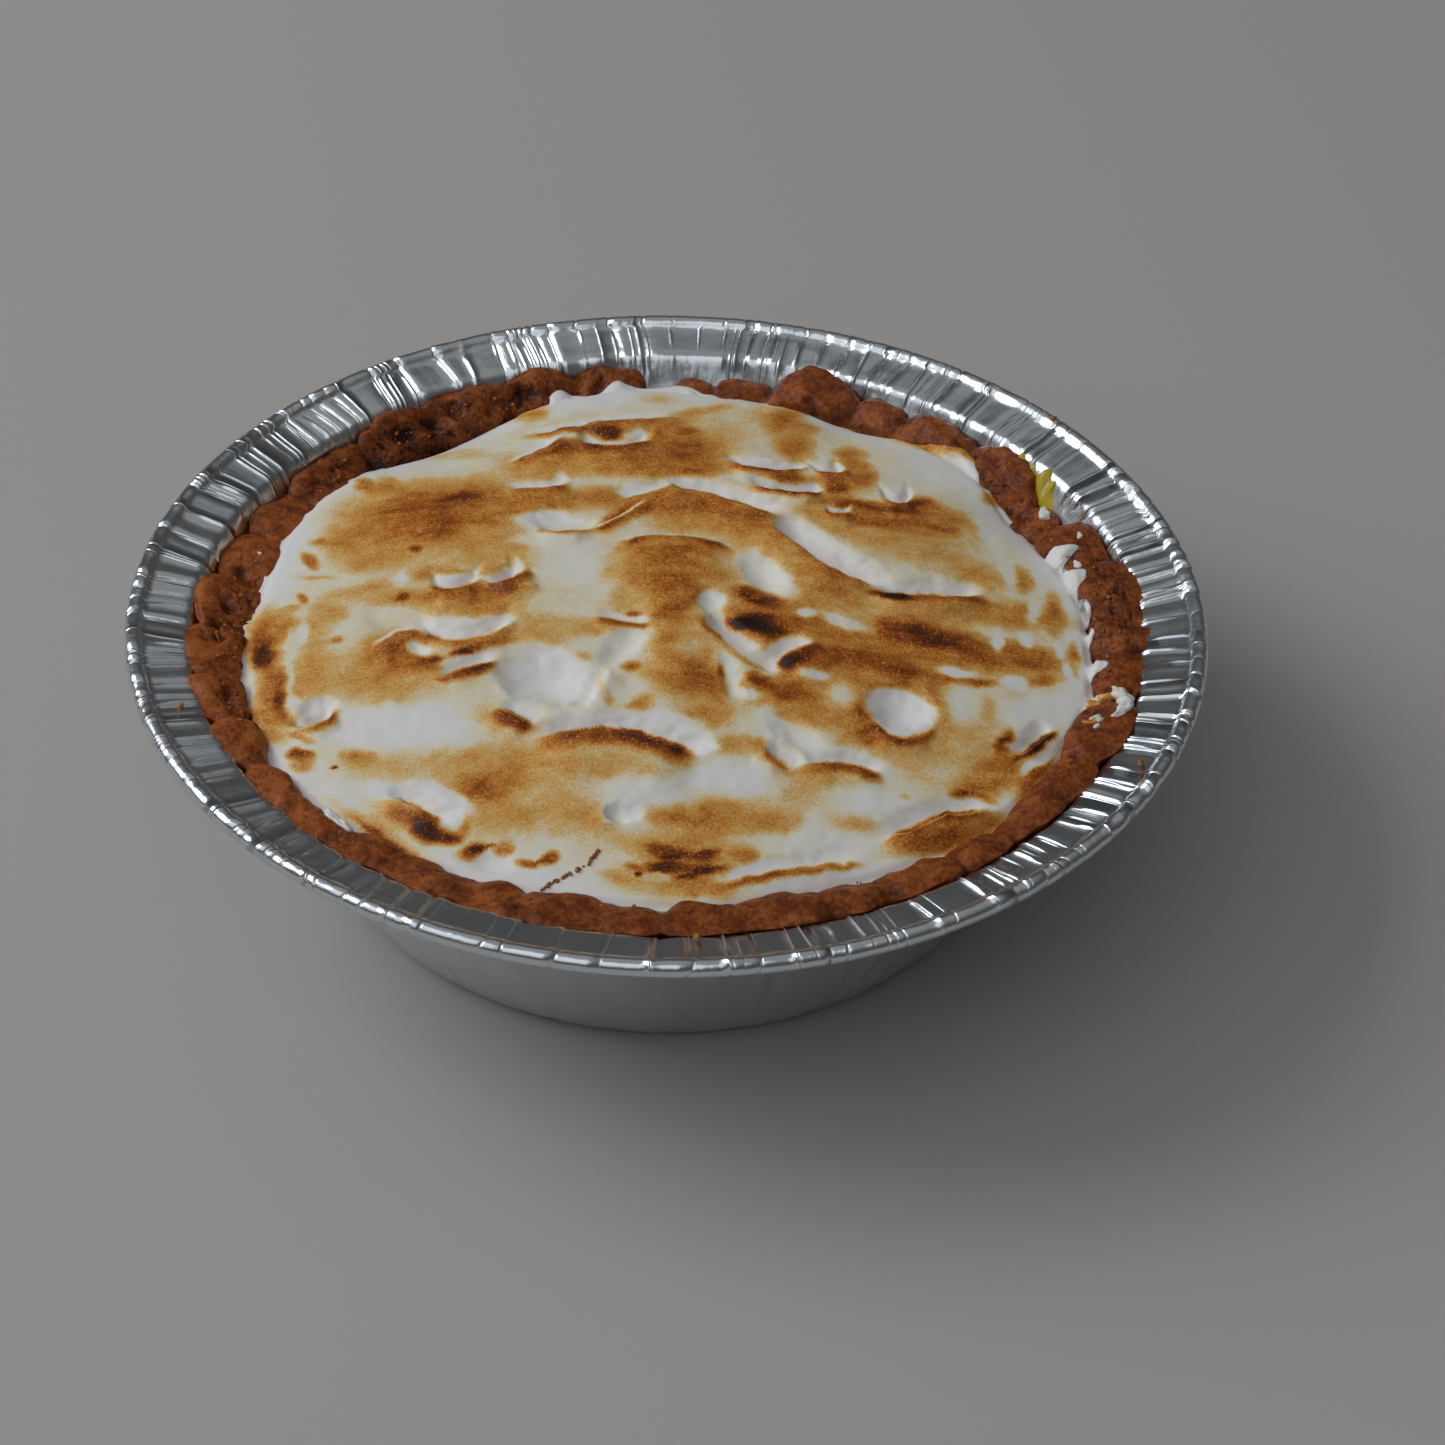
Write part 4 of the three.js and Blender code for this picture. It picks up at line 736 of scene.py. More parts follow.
def foil_dish_mesh(pleat_gap, pleat_height):
    """The dish's points and faces, and what its material reads: places unrolled, and ridges."""
    line, inward = foil_line()
    angle, size, foot, first, last, crease, ridge = foil_columns(pleat_gap, pleat_height)
    radius, height = line[:, 0][:, None], line[:, 1][:, None]
    rim_x, rim_y = ring(angle, RIM_NOISE_RADIUS)
    lean = flat_layers(rim_x, rim_y, FOIL_LEAN) * smooth((BEAD_CENTRE[0] - radius) / 3)
    turned = angle + lean * (BEAD_CENTRE[0] - radius) / RIM_MIDDLE
    raised, share = foil_relief(angle, turned, radius, height, size, foot, first, last)

    def side(sign):
        shift = sign * HALF_FOIL + raised
        wide = radius + inward[:, 0][:, None] * shift
        level = height + inward[:, 1][:, None] * shift
        return at_angle(wide, turned, level + rim_warp(turned, level))

    around = np.radians(np.linspace(*BEAD_ANGLES, BEAD_ROWS))[:, None]
    crumpled = 0.03 * bumps_at(angle, CRUMPLED)
    ripple = flat_layers(rim_x, rim_y, BEAD_RIPPLE) + crumpled * flat_noise(rim_x, rim_y, 1.1, 26)
    bead_radius = PLEATED_BEAD_RADIUS + ripple - crease * (0.65 + 0.35 * np.sin(around))
    wide = BEAD_CENTRE[0] + bead_radius * np.cos(around)
    level = BEAD_CENTRE[1] + bead_radius * np.sin(around)
    slant = angle + BEAD_SLANT * flat_noise(rim_x, rim_y, 3, 27) * (around - 0.5)
    bead = at_angle(wide, slant, level + rim_warp(slant, level))
    grid = np.concatenate([side(-1), bead, side(1)[::-1]])
    rows, columns = grid.shape[:2]
    section = np.concatenate([line, np.stack([wide.mean(1), level.mean(1)], 1), line[::-1]])
    steps = np.concatenate([[0], np.cumsum(np.linalg.norm(np.diff(section, axis=0), axis=1))])
    flat = [np.broadcast_to(part, (rows, columns)) for part in (rim_x, rim_y, steps[:, None])]
    panel = FOIL_LINE[0][1]
    middles = np.array([(0, 0, panel - HALF_FOIL), (0, 0, panel + HALF_FOIL)])
    points = np.concatenate([grid.reshape(-1, 3), middles])
    unrolled = np.concatenate([np.stack(flat, -1).reshape(-1, 3), middles]) * MM
    ridges = ridge * np.concatenate([share, 0.5 + 0 * bead_radius, share[::-1]])
    return points, tube_faces(rows, columns), unrolled, np.append(ridges.ravel(), (0, 0))


def foil_material(colour, roughness):
    material, tree, shader = new_material("Pie Foil", colour, roughness, 1.0)
    unrolled = attribute_node(tree, "unrolled", "Vector")
    stretch = add_node(tree, "ShaderNodeMapping")
    stretch.inputs["Scale"].default_value = (1, 1, 0.22)
    tree.links.new(unrolled, stretch.inputs["Vector"])
    creases = noise_node(tree, 1.1, 3, stretch.outputs["Vector"])
    crinkle = noise_node(tree, 3.2, 2, unrolled)
    height = maths(tree, "MULTIPLY_ADD", crinkle, 1.6, creases)
    add_bump(tree, shader, height, 0.6, 0.12)
    scuffed = maths(tree, "MULTIPLY_ADD", noise_node(tree, 5, 3, unrolled), 0.16, roughness - 0.08)
    worn = maths(tree, "MULTIPLY_ADD", attribute_node(tree, "ridge"), 0.12, scuffed)
    tree.links.new(worn, shader.inputs["Roughness"])
    return material


# ---------------------------------------------------------------- where crust and meringue meet


def meringue_radius(angle):
    return MERINGUE_RADIUS + bumps_at(angle, MERINGUE_REACH)


def meringue_edge(angle):
    return MERINGUE_EDGE_HEIGHT + bumps_at(angle, MERINGUE_EDGE_DROPS)


def crust_reach(height):
    """The widest the crust may be at a height, inside the foil."""
    return wall_radius(height) - CRUST_GAP


# ---------------------------------------------------------------- crust

CRUST_COLUMNS = 1300
ROWS_PER_STRETCH = 8
LUMP_ROUNDNESS = 0.75

# The crust's section from its foot to the meringue: drops below the lump's top, insets, and
# shares of the way out. Where the shelf inside the crown has sunk, the sunk shares are added.
NECK_DROP, NECK_DENT = 3.0, 0.8
SHOULDER_DROP = 0.5
CROWN_START_INSET, CROWN_START_DROP = 0.45, 0.1
CROWN_SHARE, SUNK_CROWN_SHARE = 0.66, 0.14
SHELF_SHARE, SHELF_SAG, SHELF_SUNK, SHELF_DROP = 0.36, 0.25, 0.6, 2.4
LIP_SHARE, SUNK_LIP_SHARE = 0.55, 0.4
EDGE_DROP = 0.9
HIDDEN_FOOT = (BASE_RADIUS - 2.6, 1.7)
HIDDEN_HEIGHTS = (3, 20)

# Unevenness of the crust, as noise layers, and the circles that noise round its sides is taken on.
INNER_NOISE_RADIUS, OUTER_NOISE_RADIUS = 50, 57
LUMP_WANDER = ((4, 0.02, 31),)
RAGGED_INNER_SIDE = ((2.4, 0.4, 38),)
RAGGED_OUTER_SIDE = ((2.0, 0.3, 39),)
COARSE_CRUST = ((4.2, 0.4, 32), (1.9, 0.26, 33))
FINE_CRUST = ((0.95, 0.12, 34),)
CRUST_PITS = ((1.5, 1, 35), (0.8, 0.7, 37))

# How deep pits, slits, crevices, dents and the crust under a tongue of meringue are.
PIT_DEPTH, SLIT_DEPTH, CREVICE_DEPTH, DENT_SHARE, COVERED_DEPTH = 0.5, 0.35, 0.7, 0.7, 0.5
# How much of the roughening the first shown rows take.
FIRST_SHARES = (0.1, 0.3, 0.6, 0.8)


def lumps_at(angle):
    """How far each angle is up its lump, from 0 in a groove to 1, and the crust's top there."""
    starts = np.array([start for start, _ in LUMPS], float)
    tops = np.array([top for _, top in LUMPS]) + CRUST_TOP
    degrees = np.degrees(angle)
    degrees = np.where(degrees < starts[0], degrees + 360, degrees)
    index = np.searchsorted(starts, degrees, side="right") - 1
    following = (index + 1) % len(starts)
    width = (starts[following] - starts[index]) % 360
    phase = (degrees - starts[index]) / width
    grooves = np.minimum(tops, np.roll(tops, 1))
    groove = grooves[index] * (1 - phase) + grooves[following] * phase
    groove = groove - LUMP_RISE * (1 + bumps_at(angle, LUMP_FADE))
    swell = (1 - np.abs(2 * phase - 1) ** 2) ** LUMP_ROUNDNESS
    return swell, groove + (tops[index] - groove) * swell


def through_points(controls, steps):
    """Rows of points along smooth curves through rows of control points (controls, columns, 2)."""
    padded = np.concatenate([controls[:1], controls, controls[-1:]])
    rows = []
    for first in range(len(controls) - 1):
        a, b, c, d = padded[first : first + 4]
        for step in range(steps):
            t = step / steps
            bend = (2 * a - 5 * b + 4 * c - d) * t**2
            rows.append(0.5 * (2 * b + (c - a) * t + bend + (3 * b - a - 3 * c + d) * t**3))
    rows.append(controls[-1])
    return np.array(rows)


def level_row(angle, radius, height):
    """A row of a section, as radius and height at each angle."""
    return np.stack([np.broadcast_to(radius, angle.shape), np.broadcast_to(height, angle.shape)], 1)


def crust_section(angle):
    """The crust's section at angles: its lumps' swell and top, its shelf, and its shown points.

    The shown points go from its foot at the foil over its crown to the meringue: radius, height.
    """
    wobble = flat_layers(*ring(angle, RIM_NOISE_RADIUS), LUMP_WANDER)
    swell, top = lumps_at(np.arctan2(np.sin(angle + wobble), np.cos(angle + wobble)))
    edge = np.minimum(meringue_edge(angle), top) - EDGE_DROP
    shelf = bumps_at(angle, SHELVES)
    groove = LUMP_GROOVE * (1 - swell) * (1 + bumps_at(angle, LUMP_FADE))
    ragged = flat_layers(*ring(angle, INNER_NOISE_RADIUS), RAGGED_INNER_SIDE)
    inner = meringue_radius(angle) + 0.2 + ragged + 0.6 * (0.6 - swell) * (1 - 0.7 * shelf)
    over = OVERHANG * smooth((top - 29.9) / 0.4)
    outer = crust_reach(top - SHOULDER_DROP) - groove
    outer = outer + flat_layers(*ring(angle, OUTER_NOISE_RADIUS), RAGGED_OUTER_SIDE)
    crown = CROWN_SHARE + SUNK_CROWN_SHARE * shelf
    low = np.maximum(edge, top - SHELF_DROP)
    sunk = SHELF_SUNK * shelf
    lip = LIP_SHARE + SUNK_LIP_SHARE * shelf
    shown = (
        (crust_reach(top - NECK_DROP) - NECK_DENT * groove, top - NECK_DROP),
        (outer + over, top - SHOULDER_DROP),
        (outer + over - CROWN_START_INSET, top - CROWN_START_DROP),
        (crown * outer + (1 - crown) * inner, top),
        (SHELF_SHARE * outer + (1 - SHELF_SHARE) * inner, (1 - sunk) * (top - SHELF_SAG) + sunk * low),
        (inner + 0.2, (1 - lip) * top + lip * low),
        (inner - 0.1, edge),
    )
    return swell, top, shelf, np.array([level_row(angle, *row) for row in shown])


def crust_height(angle, radius):
    """The height of the crust's shown surface at places, without its roughness."""
    shown = crust_section(angle)[-1]
    height = shown[-1, :, 1]
    for within, beyond in zip(shown[:1:-1], shown[-2:0:-1]):
        part = np.clip((radius - within[:, 0]) / np.maximum(beyond[:, 0] - within[:, 0], 0.01), 0, 1)
        height = height + (beyond[:, 1] - within[:, 1]) * part
    return height


def dents_at(angle, depth, rough):
    """How much of each point is in a dent of the crust, and how deep the dents are."""
    cover, sunk = np.zeros(depth.shape), np.zeros(depth.shape)
    for degrees, radius, along, across, deep in DENTS:
        turn = angle - math.radians(degrees)
        turn = np.arctan2(np.sin(turn), np.cos(turn)) * radius
        near = np.hypot(turn / along, (depth - radius) / across) + rough
        in_dent = 1 - smooth(near / 1.25)
        cover += in_dent
        sunk += deep * in_dent
    return cover, sunk


def crust_mesh(roughening):
    """The crust's points and faces, and what its material reads: painted shading and tone, pores, slits,
    place.
    """
    angle = np.linspace(-math.pi, math.pi, CRUST_COLUMNS, endpoint=False)
    swell, top, shelf, shown = crust_section(angle)
    inner, outer = shown[-1, :, 0] + 0.1, shown[1, :, 0]
    rows = through_points(shown, ROWS_PER_STRETCH)
    hidden = [HIDDEN_FOOT] + [(crust_reach(height), height) for height in HIDDEN_HEIGHTS]
    hidden = [level_row(angle, *row) for row in hidden]
    section = np.concatenate([hidden, rows, [level_row(angle, inner - MERINGUE_TUCK, CRUST_FLOOR)]])
    depth, height = section[:, :, 0], section[:, :, 1]
    grid = at_angle(depth, angle, height)
    shape = depth.shape
    flat = grid.reshape(-1, 3)
    share = np.zeros((len(grid), 1))
    share[len(hidden) : -1, 0] = 1
    share[len(hidden) : len(hidden) + len(FIRST_SHARES), 0] = FIRST_SHARES

    coarse = layered_noise(flat, COARSE_CRUST).reshape(shape)
    fine = layered_noise(flat, FINE_CRUST).reshape(shape)
    inwards = smooth((outer - 1.2 - depth) / 1.6)
    pores = np.minimum(1, bumps_at(angle, POROUS) * inwards)
    pits = smooth((layered_noise(flat, CRUST_PITS).reshape(shape) - 0.35) / 0.4) * pores
    crevices = smooth(1.4 * (1 - swell) - 0.2) * inwards * np.minimum(1, shelf)
    around = np.stack([angle * 55 + 0 * depth, depth, 0 * depth], -1).reshape(-1, 3)
    slitted = bumps_at(angle, SLITS) * smooth((depth - inner) / 1.2) * smooth((outer - depth) / 1.2)
    slits = smooth((noise(around / (2.6, 0.6, 1), 1, 36).reshape(shape) - 0.42) / 0.25) * slitted
    dents, sunk_dents = dents_at(angle, depth, 0.7 * coarse + 2 * fine)
    tongue = bumps_at(angle, TONGUES + BROWNED_TONGUES)
    covered = smooth(tongue) * smooth((inner + tongue - depth) / 0.6)

    shift = coarse + fine - PIT_DEPTH * pits - SLIT_DEPTH * slits - CREVICE_DEPTH * crevices
    shift = roughening * shift * (1 - 0.6 * covered) - DENT_SHARE * sunk_dents - COVERED_DEPTH * covered
    grid = grid + grid_normals(grid) * (shift * share)[:, :, None]
    wide = np.hypot(grid[:, :, 0], grid[:, :, 1])
    limit = np.minimum(wide, crust_reach(grid[:, :, 2]) + OVERHANG * smooth((grid[:, :, 2] - 29.6) / 0.6))
    limit[0] = wide[0]
    grid[:, :, :2] *= (limit / wide)[:, :, None]

    # Painted shading: the sunk shelf, the grooves between lumps, the pits, slits, crevices and dents are
    # darkened in colour; PALER then makes the crust lighter or darker round the pie.
    sunk = inwards * np.minimum(1, shelf) * smooth((top - 0.3 - height) / 1.6)
    creased = (1 - swell) ** 2 * (1 - inwards)
    shade = 0.8 * pits + slits + 0.25 * sunk + 0.5 * creased + 0.6 * crevices + 0.8 * dents
    shade = np.clip(shade, 0, 1.3) - bumps_at(angle, PALER)
    middles = np.array([(0, 0, HIDDEN_FOOT[1]), (0, 0, CRUST_FLOOR)])
    points = np.concatenate([grid.reshape(-1, 3), middles])
    values = [np.concatenate([value.ravel(), (0, 0)]) for value in (shade, pores, slitted)]
    around = np.concatenate([around, np.zeros((2, 3))]) * MM
    return points, tube_faces(len(grid), CRUST_COLUMNS), *values, around


# The crust's colour from its darkest, where shading is painted into its crevices and holes, to its crumbs, as
# shares of its middle colour.
CRUST_RAMP = ((0.03, (0.15, 0.16, 0.3)), (0.42, (0.9, 0.88, 0.9)), (0.75, (1.75, 2.15, 2.9)))


def crust_material(colour):
    material, tree, shader = new_material("Pie Crust", colour, 0.45)
    blotches = noise_node(tree, 2.4, 3)
    grains = noise_node(tree, 0.6, 3)
    mixed = maths(tree, "MULTIPLY_ADD", grains, 0.6, maths(tree, "MULTIPLY_ADD", blotches, 1.1, -0.33))
    # Painted shading: holes in the porous and slitted parts are darkened in colour, as well as sunk in the
    # bump.
    holes = maths(tree, "MULTIPLY_ADD", noise_node(tree, 0.55, 1), 8.0, -4.7, clamp=True)
    holes = maths(tree, "MULTIPLY", holes, attribute_node(tree, "pores"))
    stretch = add_node(tree, "ShaderNodeMapping")
    stretch.inputs["Scale"].default_value = (0.22, 1, 1)
    tree.links.new(attribute_node(tree, "around", "Vector"), stretch.inputs["Vector"])
    narrow = noise_node(tree, 0.42, 1, stretch.outputs["Vector"])
    slits = maths(tree, "MULTIPLY_ADD", narrow, 9.0, -5.6, clamp=True)
    holes = maths(tree, "MULTIPLY_ADD", slits, attribute_node(tree, "slitted"), holes)
    # The holes' painted shading is added to the painted shading and tone that the mesh carries; together they
    # set how dark the colour is.
    shade = maths(tree, "MULTIPLY_ADD", holes, 0.9, attribute_node(tree, "shade"))
    level = maths(tree, "MULTIPLY_ADD", shade, -0.42, mixed, clamp=True)
    stops = [(place, [a * b for a, b in zip(tone, colour)]) for place, tone in CRUST_RAMP]
    tree.links.new(ramp_node(tree, level, stops), shader.inputs["Base Color"])
    shader.inputs["Specular IOR Level"].default_value = 0.25
    crumb = maths(tree, "MULTIPLY_ADD", noise_node(tree, 0.25, 2), 0.5, grains)
    add_bump(tree, shader, maths(tree, "SUBTRACT", crumb, holes), 0.6, 0.3)
    return material


# ---------------------------------------------------------------- meringue


def along_fold(fold, x, y):
    """Where points are along a fold's chord, from 0 to 1, how far behind its crest, and its x way."""
    x0, y0, x1, y1, bow = fold[:5]
    length = math.hypot(x1 - x0, y1 - y0)
    way_x, way_y = (x1 - x0) / length, (y1 - y0) / length
    along = ((x - x0) * way_x + (y - y0) * way_y) / length
    off = (y - y0) * way_x - (x - x0) * way_y
    part = np.clip(along, 0, 1)
    slope = 4 * bow * (1 - 2 * part) / length
    return part, (off - 4 * bow * part * (1 - part)) / np.sqrt(1 + slope**2), way_x


def fold_height(fold, x, y):
    """How far a fold raises the meringue's top, or lowers it in the dip at its back."""
    rise, front, back, dip = fold[5:9]
    part, behind, way_x = along_fold(fold, x, y)
    fade = smooth(np.minimum(part, 1 - part) / 0.3)
    behind = behind + TORCH_LEAN * rise * fade * way_x
    off = np.abs(behind)
    dip_middle = max(1.7 * back, 0.42 * fold[11])
    before = np.minimum(1, off / dip_middle)
    beyond = np.maximum(0, off - dip_middle) / (1.3 * dip_middle)
    dip_shape = smooth(before) * (1 - smooth(beyond))
    in_front = rise * (1 - smooth(off / front))
    at_back = rise * (1 - smooth(off / back)) - DIP_DEPTH * dip * dip_shape
    return fade * np.where(behind < 0, in_front, at_back)


def hollow_depth(hollow, x, y):
    """How far a hollow lowers the top; a swell's depth is negative and smoother."""
    middle_x, middle_y, along, across, turn, depth = hollow
    middle_y = middle_y + 0.5 * TORCH_LEAN * depth
    cos, sin = math.cos(math.radians(turn)), math.sin(math.radians(turn))
    u = ((x - middle_x) * cos + (y - middle_y) * sin) / along
    v = ((y - middle_y) * cos - (x - middle_x) * sin) / across
    out = np.hypot(u, v)
    if depth < 0:
        return depth * (1 - smooth(out))
    return 1.25 * depth * np.clip(1 - out**2, 0, 1) ** 1.4


def stray(x, y):
    """How far folds and scorch marks stray from their smooth course at places."""
    return flat_layers(x, y, STRAY_X), flat_layers(x, y, STRAY_Y)


def meringue_height(x, y):
    """The height of the meringue's top, and how far that is above a plain dome.

    The folds' stray depends on where the torch sees a place, which depends on its height.
    """
    lift = 0.0
    for _ in range(2):
        stray_x, stray_y = stray(x, y + TORCH_LEAN * lift)
        height, lift = height_with_stray(x, y, FOLD_STRAY * stray_x, FOLD_STRAY * stray_y)
    return height, lift


def height_with_stray(x, y, stray_x, stray_y):
    """The top's height, and how far that is above a plain dome, with folds moved by a stray."""
    angle = np.arctan2(y, x)
    radius = np.hypot(x, y)
    out = np.minimum(1, radius / meringue_radius(angle))
    dome = MERINGUE_EDGE_HEIGHT + MERINGUE_DOME * (1 - out**2)
    edge = (meringue_edge(angle) - MERINGUE_EDGE_HEIGHT) * out**8 - EDGE_ROLL * smooth((out - 0.98) / 0.02)
    relief = flat_layers(x, y, MERINGUE_RELIEF)
    for fold in FOLDS:
        relief += fold_height(fold, x + stray_x, y + stray_y)
    for hollow in HOLLOWS:
        relief -= hollow_depth(hollow, x + stray_x, y + stray_y)
    height = dome + edge + relief * (1 - smooth((out - 0.95) / 0.05))
    plain = PLAIN_EDGE_HEIGHT + MERINGUE_DOME * (1 - (radius / PLAIN_RADIUS) ** 2)
    return height, height - plain


def halos():
    """The marks' halos, in the same form as the marks."""
    rows = []
    for x, y, along, across, turn, scorch, _ in MARKS:
        if along * across > HALO_LEAST:
            level = min(HALO_MOST, HALO_SHARE * scorch)
            rows.append((x, y, along + HALO_ALONG, across + HALO_ACROSS, turn, level, HALO_SOFTNESS))
    return rows


def lay_marks(level, marks, x, y, stray_x, stray_y):
    """Lays scorch marks over a level, one after the other. Small ones stray less."""
    for middle_x, middle_y, along, across, turn, scorch, softness in marks:
        cos, sin = math.cos(math.radians(turn)), math.sin(math.radians(turn))
        share = min(1, 0.25 + math.sqrt(along * across) / 4)
        off_x, off_y = x - middle_x + share * stray_x, y - middle_y + share * stray_y
        u = (off_x * cos + off_y * sin) / along
        v = (off_y * cos - off_x * sin) / across
        if scorch < BARE_LEVEL:
            softness *= BARE_SOFTNESS
        elif along * across > SMALL_MARK:
            softness *= MARK_SOFTNESS
        cover = 1 - smooth((np.hypot(u, v) - 1 + softness) / (2 * softness))
        level = level + (scorch - level) * cover
    return level


def scorch_at(x, y, out):
    """How scorched the top is at places as the torch sees them."""
    stray_x, stray_y = stray(x, y)
    level = lay_marks(0 * x, halos(), x, y, stray_x, stray_y) * (1 - smooth((out - 0.88) / 0.08))
    level = np.maximum(level, lay_marks(0 * x, MARKS, x, y, stray_x, stray_y))
    swept_x, swept_y = x + flat_layers(x, y, SWEEP_X), y + flat_layers(x, y, SWEEP_Y)
    streaks = flat_noise(swept_x / 6, swept_y / 1.3, 1, 59)
    streaks = streaks + 0.7 * flat_noise(swept_x / 2.5, swept_y / 0.6, 1, 60)
    level = level * (1 + STREAK_STRENGTH * streaks)
    level = level + 0.1 * smooth((level - 0.5) / 0.4)
    level = lay_marks(level, BARE, x, y, stray_x, stray_y)
    uneven = 1 + flat_layers(x, y, UNEVEN_FOLDS)
    for fold in FOLDS:
        scorch, reach, bare = fold[9:]
        part, behind, _ = along_fold(fold, x + FOLD_STRAY * stray_x, y + FOLD_STRAY * stray_y)
        off = np.abs(behind)
        fade = smooth(np.minimum(part, 1 - part) / 0.2)
        browned = fade * (1 - smooth((off - 0.3) / reach)) if scorch else 0
        cleared = fade * (1 - smooth((off - 0.4 * bare) / (0.6 * bare))) if bare else 0
        in_front = np.maximum(level, level + (scorch * uneven - level) * browned)
        back_share = smooth((behind + 0.3) / 0.6)
        level = in_front + (level * (1 - cleared) - in_front) * back_share
    return level


def lattice(rings):
    """Angles and shares of the way out of a lattice with six more points on each ring."""
    angles, shares = [np.zeros(1)], [np.zeros(1)]
    for ring in range(1, rings + 1):
        angles.append(np.arange(6 * ring) * math.tau / (6 * ring))
        shares.append(np.full(6 * ring, ring / rings))
    return np.concatenate(angles), np.concatenate(shares)


def lattice_faces(rings):
    """The lattice's faces, which point upwards."""
    start = [0] + [1 + 3 * ring * (ring - 1) for ring in range(1, rings + 1)]
    faces = []
    for ring in range(1, rings + 1):
        outer, count = start[ring], 6 * ring
        inner, inner_count = start[ring - 1], max(1, 6 * (ring - 1))
        for sector in range(6):
            for i in range(ring):
                here = outer + sector * ring + i
                after = outer + (sector * ring + i + 1) % count
                inside = inner + (sector * (ring - 1) + i) % inner_count
                faces.append((here, after, inside))
                if i < ring - 1:
                    next_inside = inner + (sector * (ring - 1) + i + 1) % inner_count
                    faces.append((after, next_inside, inside))
    return faces


def meringue_mesh(rings):
    """The meringue's points and faces, and how scorched each point is."""
    angle, out = lattice(rings)
    ragged = flat_layers(*ring(angle, PLAIN_RADIUS), RAGGED_EDGE)
    white_tongue = bumps_at(angle + 0.008 * ragged, TONGUES)
    tongue = white_tongue + bumps_at(angle + 0.008 * ragged, BROWNED_TONGUES)
    radius = (meringue_radius(angle) + 0.4) * out + (ragged + tongue) * smooth((out - 0.9) / 0.1)
    x, y = ring(angle, radius)
    height, lift = meringue_height(x, y)
    rim = out > 0.9
    climb = crust_height(angle[rim], radius[rim]) + TONGUE_THICKNESS * (1 - smooth((out[rim] - 0.97) / 0.03))
    height[rim] += np.maximum(0, climb - height[rim]) * smooth(tongue[rim] / 0.7)
    clean = smooth(white_tongue) * smooth((out - 0.92) / 0.05)
    level = scorch_at(x, y + TORCH_LEAN * lift, out) * (1 - clean)

    faces = lattice_faces(rings)
    count = 6 * rings
    rim, under = len(angle) - count, len(angle)
    floor = CRUST_FLOOR + 0.3
    lower_radius = meringue_radius(angle[rim:]) - MERINGUE_TUCK
    lower = at_angle(lower_radius, angle[rim:], np.full(count, floor))
    points = np.concatenate([np.stack([x, y, height], 1), lower, [(0, 0, floor)]])
    for i in range(count):
        after = (i + 1) % count
        faces.append((under + i, under + after, rim + after, rim + i))
        faces.append((under + after, under + i, under + count))
    return points, faces, np.concatenate([level, np.zeros(count + 1)])


# The meringue's colour at scorch levels, as shares of its plain white.
SCORCH_RAMP = (
    (0.0, (1.0, 1.0, 1.0)), (0.09, (0.98, 0.91, 0.70)), (0.21, (0.93, 0.62, 0.235)),
    (0.34, (0.83, 0.405, 0.09)), (0.46, (0.66, 0.235, 0.034)), (0.58, (0.44, 0.118, 0.014)),
    (0.70, (0.235, 0.055, 0.008)), (0.82, (0.10, 0.028, 0.007)), (1.0, (0.026, 0.013, 0.009)),
)
SCORCH_TOP = 1.3


def meringue_material(colour):
    material, tree, shader = new_material("Pie Meringue", colour, 0.5)
    scorch = attribute_node(tree, "scorch")
    blotches = noise_node(tree, 2.6, 3)
    grains = noise_node(tree, 0.32, 2)
    uneven = maths(tree, "MULTIPLY_ADD", blotches, 0.9, maths(tree, "MULTIPLY_ADD", grains, 1.2, -1.05))
    near_brown = maths(tree, "MULTIPLY", scorch, maths(tree, "SUBTRACT", 1.5, scorch), clamp=True)
    level = maths(tree, "MULTIPLY_ADD", uneven, near_brown, scorch)
    # Sugar specks in the browned parts: small dots made paler than the scorch round them, partly the sugar's
    # own colour and partly painted glints.
    specks = add_node(tree, "ShaderNodeTexVoronoi", Scale=1 / (0.5 * MM))
    tree.links.new(add_node(tree, "ShaderNodeTexCoord").outputs["Object"], specks.inputs["Vector"])
    some = maths(tree, "GREATER_THAN", specks.outputs["Color"], 0.5)
    pale_specks_and_glints = maths(tree, "MULTIPLY_ADD", specks.outputs["Distance"], -4.5, 1.9, clamp=True)
    pale_specks_and_glints = maths(tree, "MULTIPLY", pale_specks_and_glints, some)
    browned = maths(tree, "MULTIPLY_ADD", scorch, 2.5, -1.25, clamp=True)
    pale_specks_and_glints = maths(tree, "MULTIPLY", pale_specks_and_glints, browned)
    level = maths(tree, "MULTIPLY_ADD", pale_specks_and_glints, -0.28, level)
    level = maths(tree, "DIVIDE", level, SCORCH_TOP, clamp=True)
    stops = [(place, [a * b for a, b in zip(tone, colour)]) for place, tone in SCORCH_RAMP]
    tree.links.new(ramp_node(tree, level, stops), shader.inputs["Base Color"])
    shader.inputs["Specular IOR Level"].default_value = 0.2
    shader.inputs["Subsurface Weight"].default_value = 0.2
    shader.inputs["Subsurface Radius"].default_value = (1.0, 0.9, 0.75)
    shader.inputs["Subsurface Scale"].default_value = 0.6 * MM
    gritty = maths(tree, "MULTIPLY", maths(tree, "MULTIPLY", grains, near_brown), 1.4)
    height = maths(tree, "MULTIPLY_ADD", noise_node(tree, 0.9, 3), 0.5, maths(tree, "ADD", gritty, pale_specks_and_glints))
    add_bump(tree, shader, height, 0.5, 0.12)
    return material


# ---------------------------------------------------------------- lemon curd

CURD_ARC = (29.4, 44.6)
CURD_COLUMNS = 90
CURD_ROWS = 14
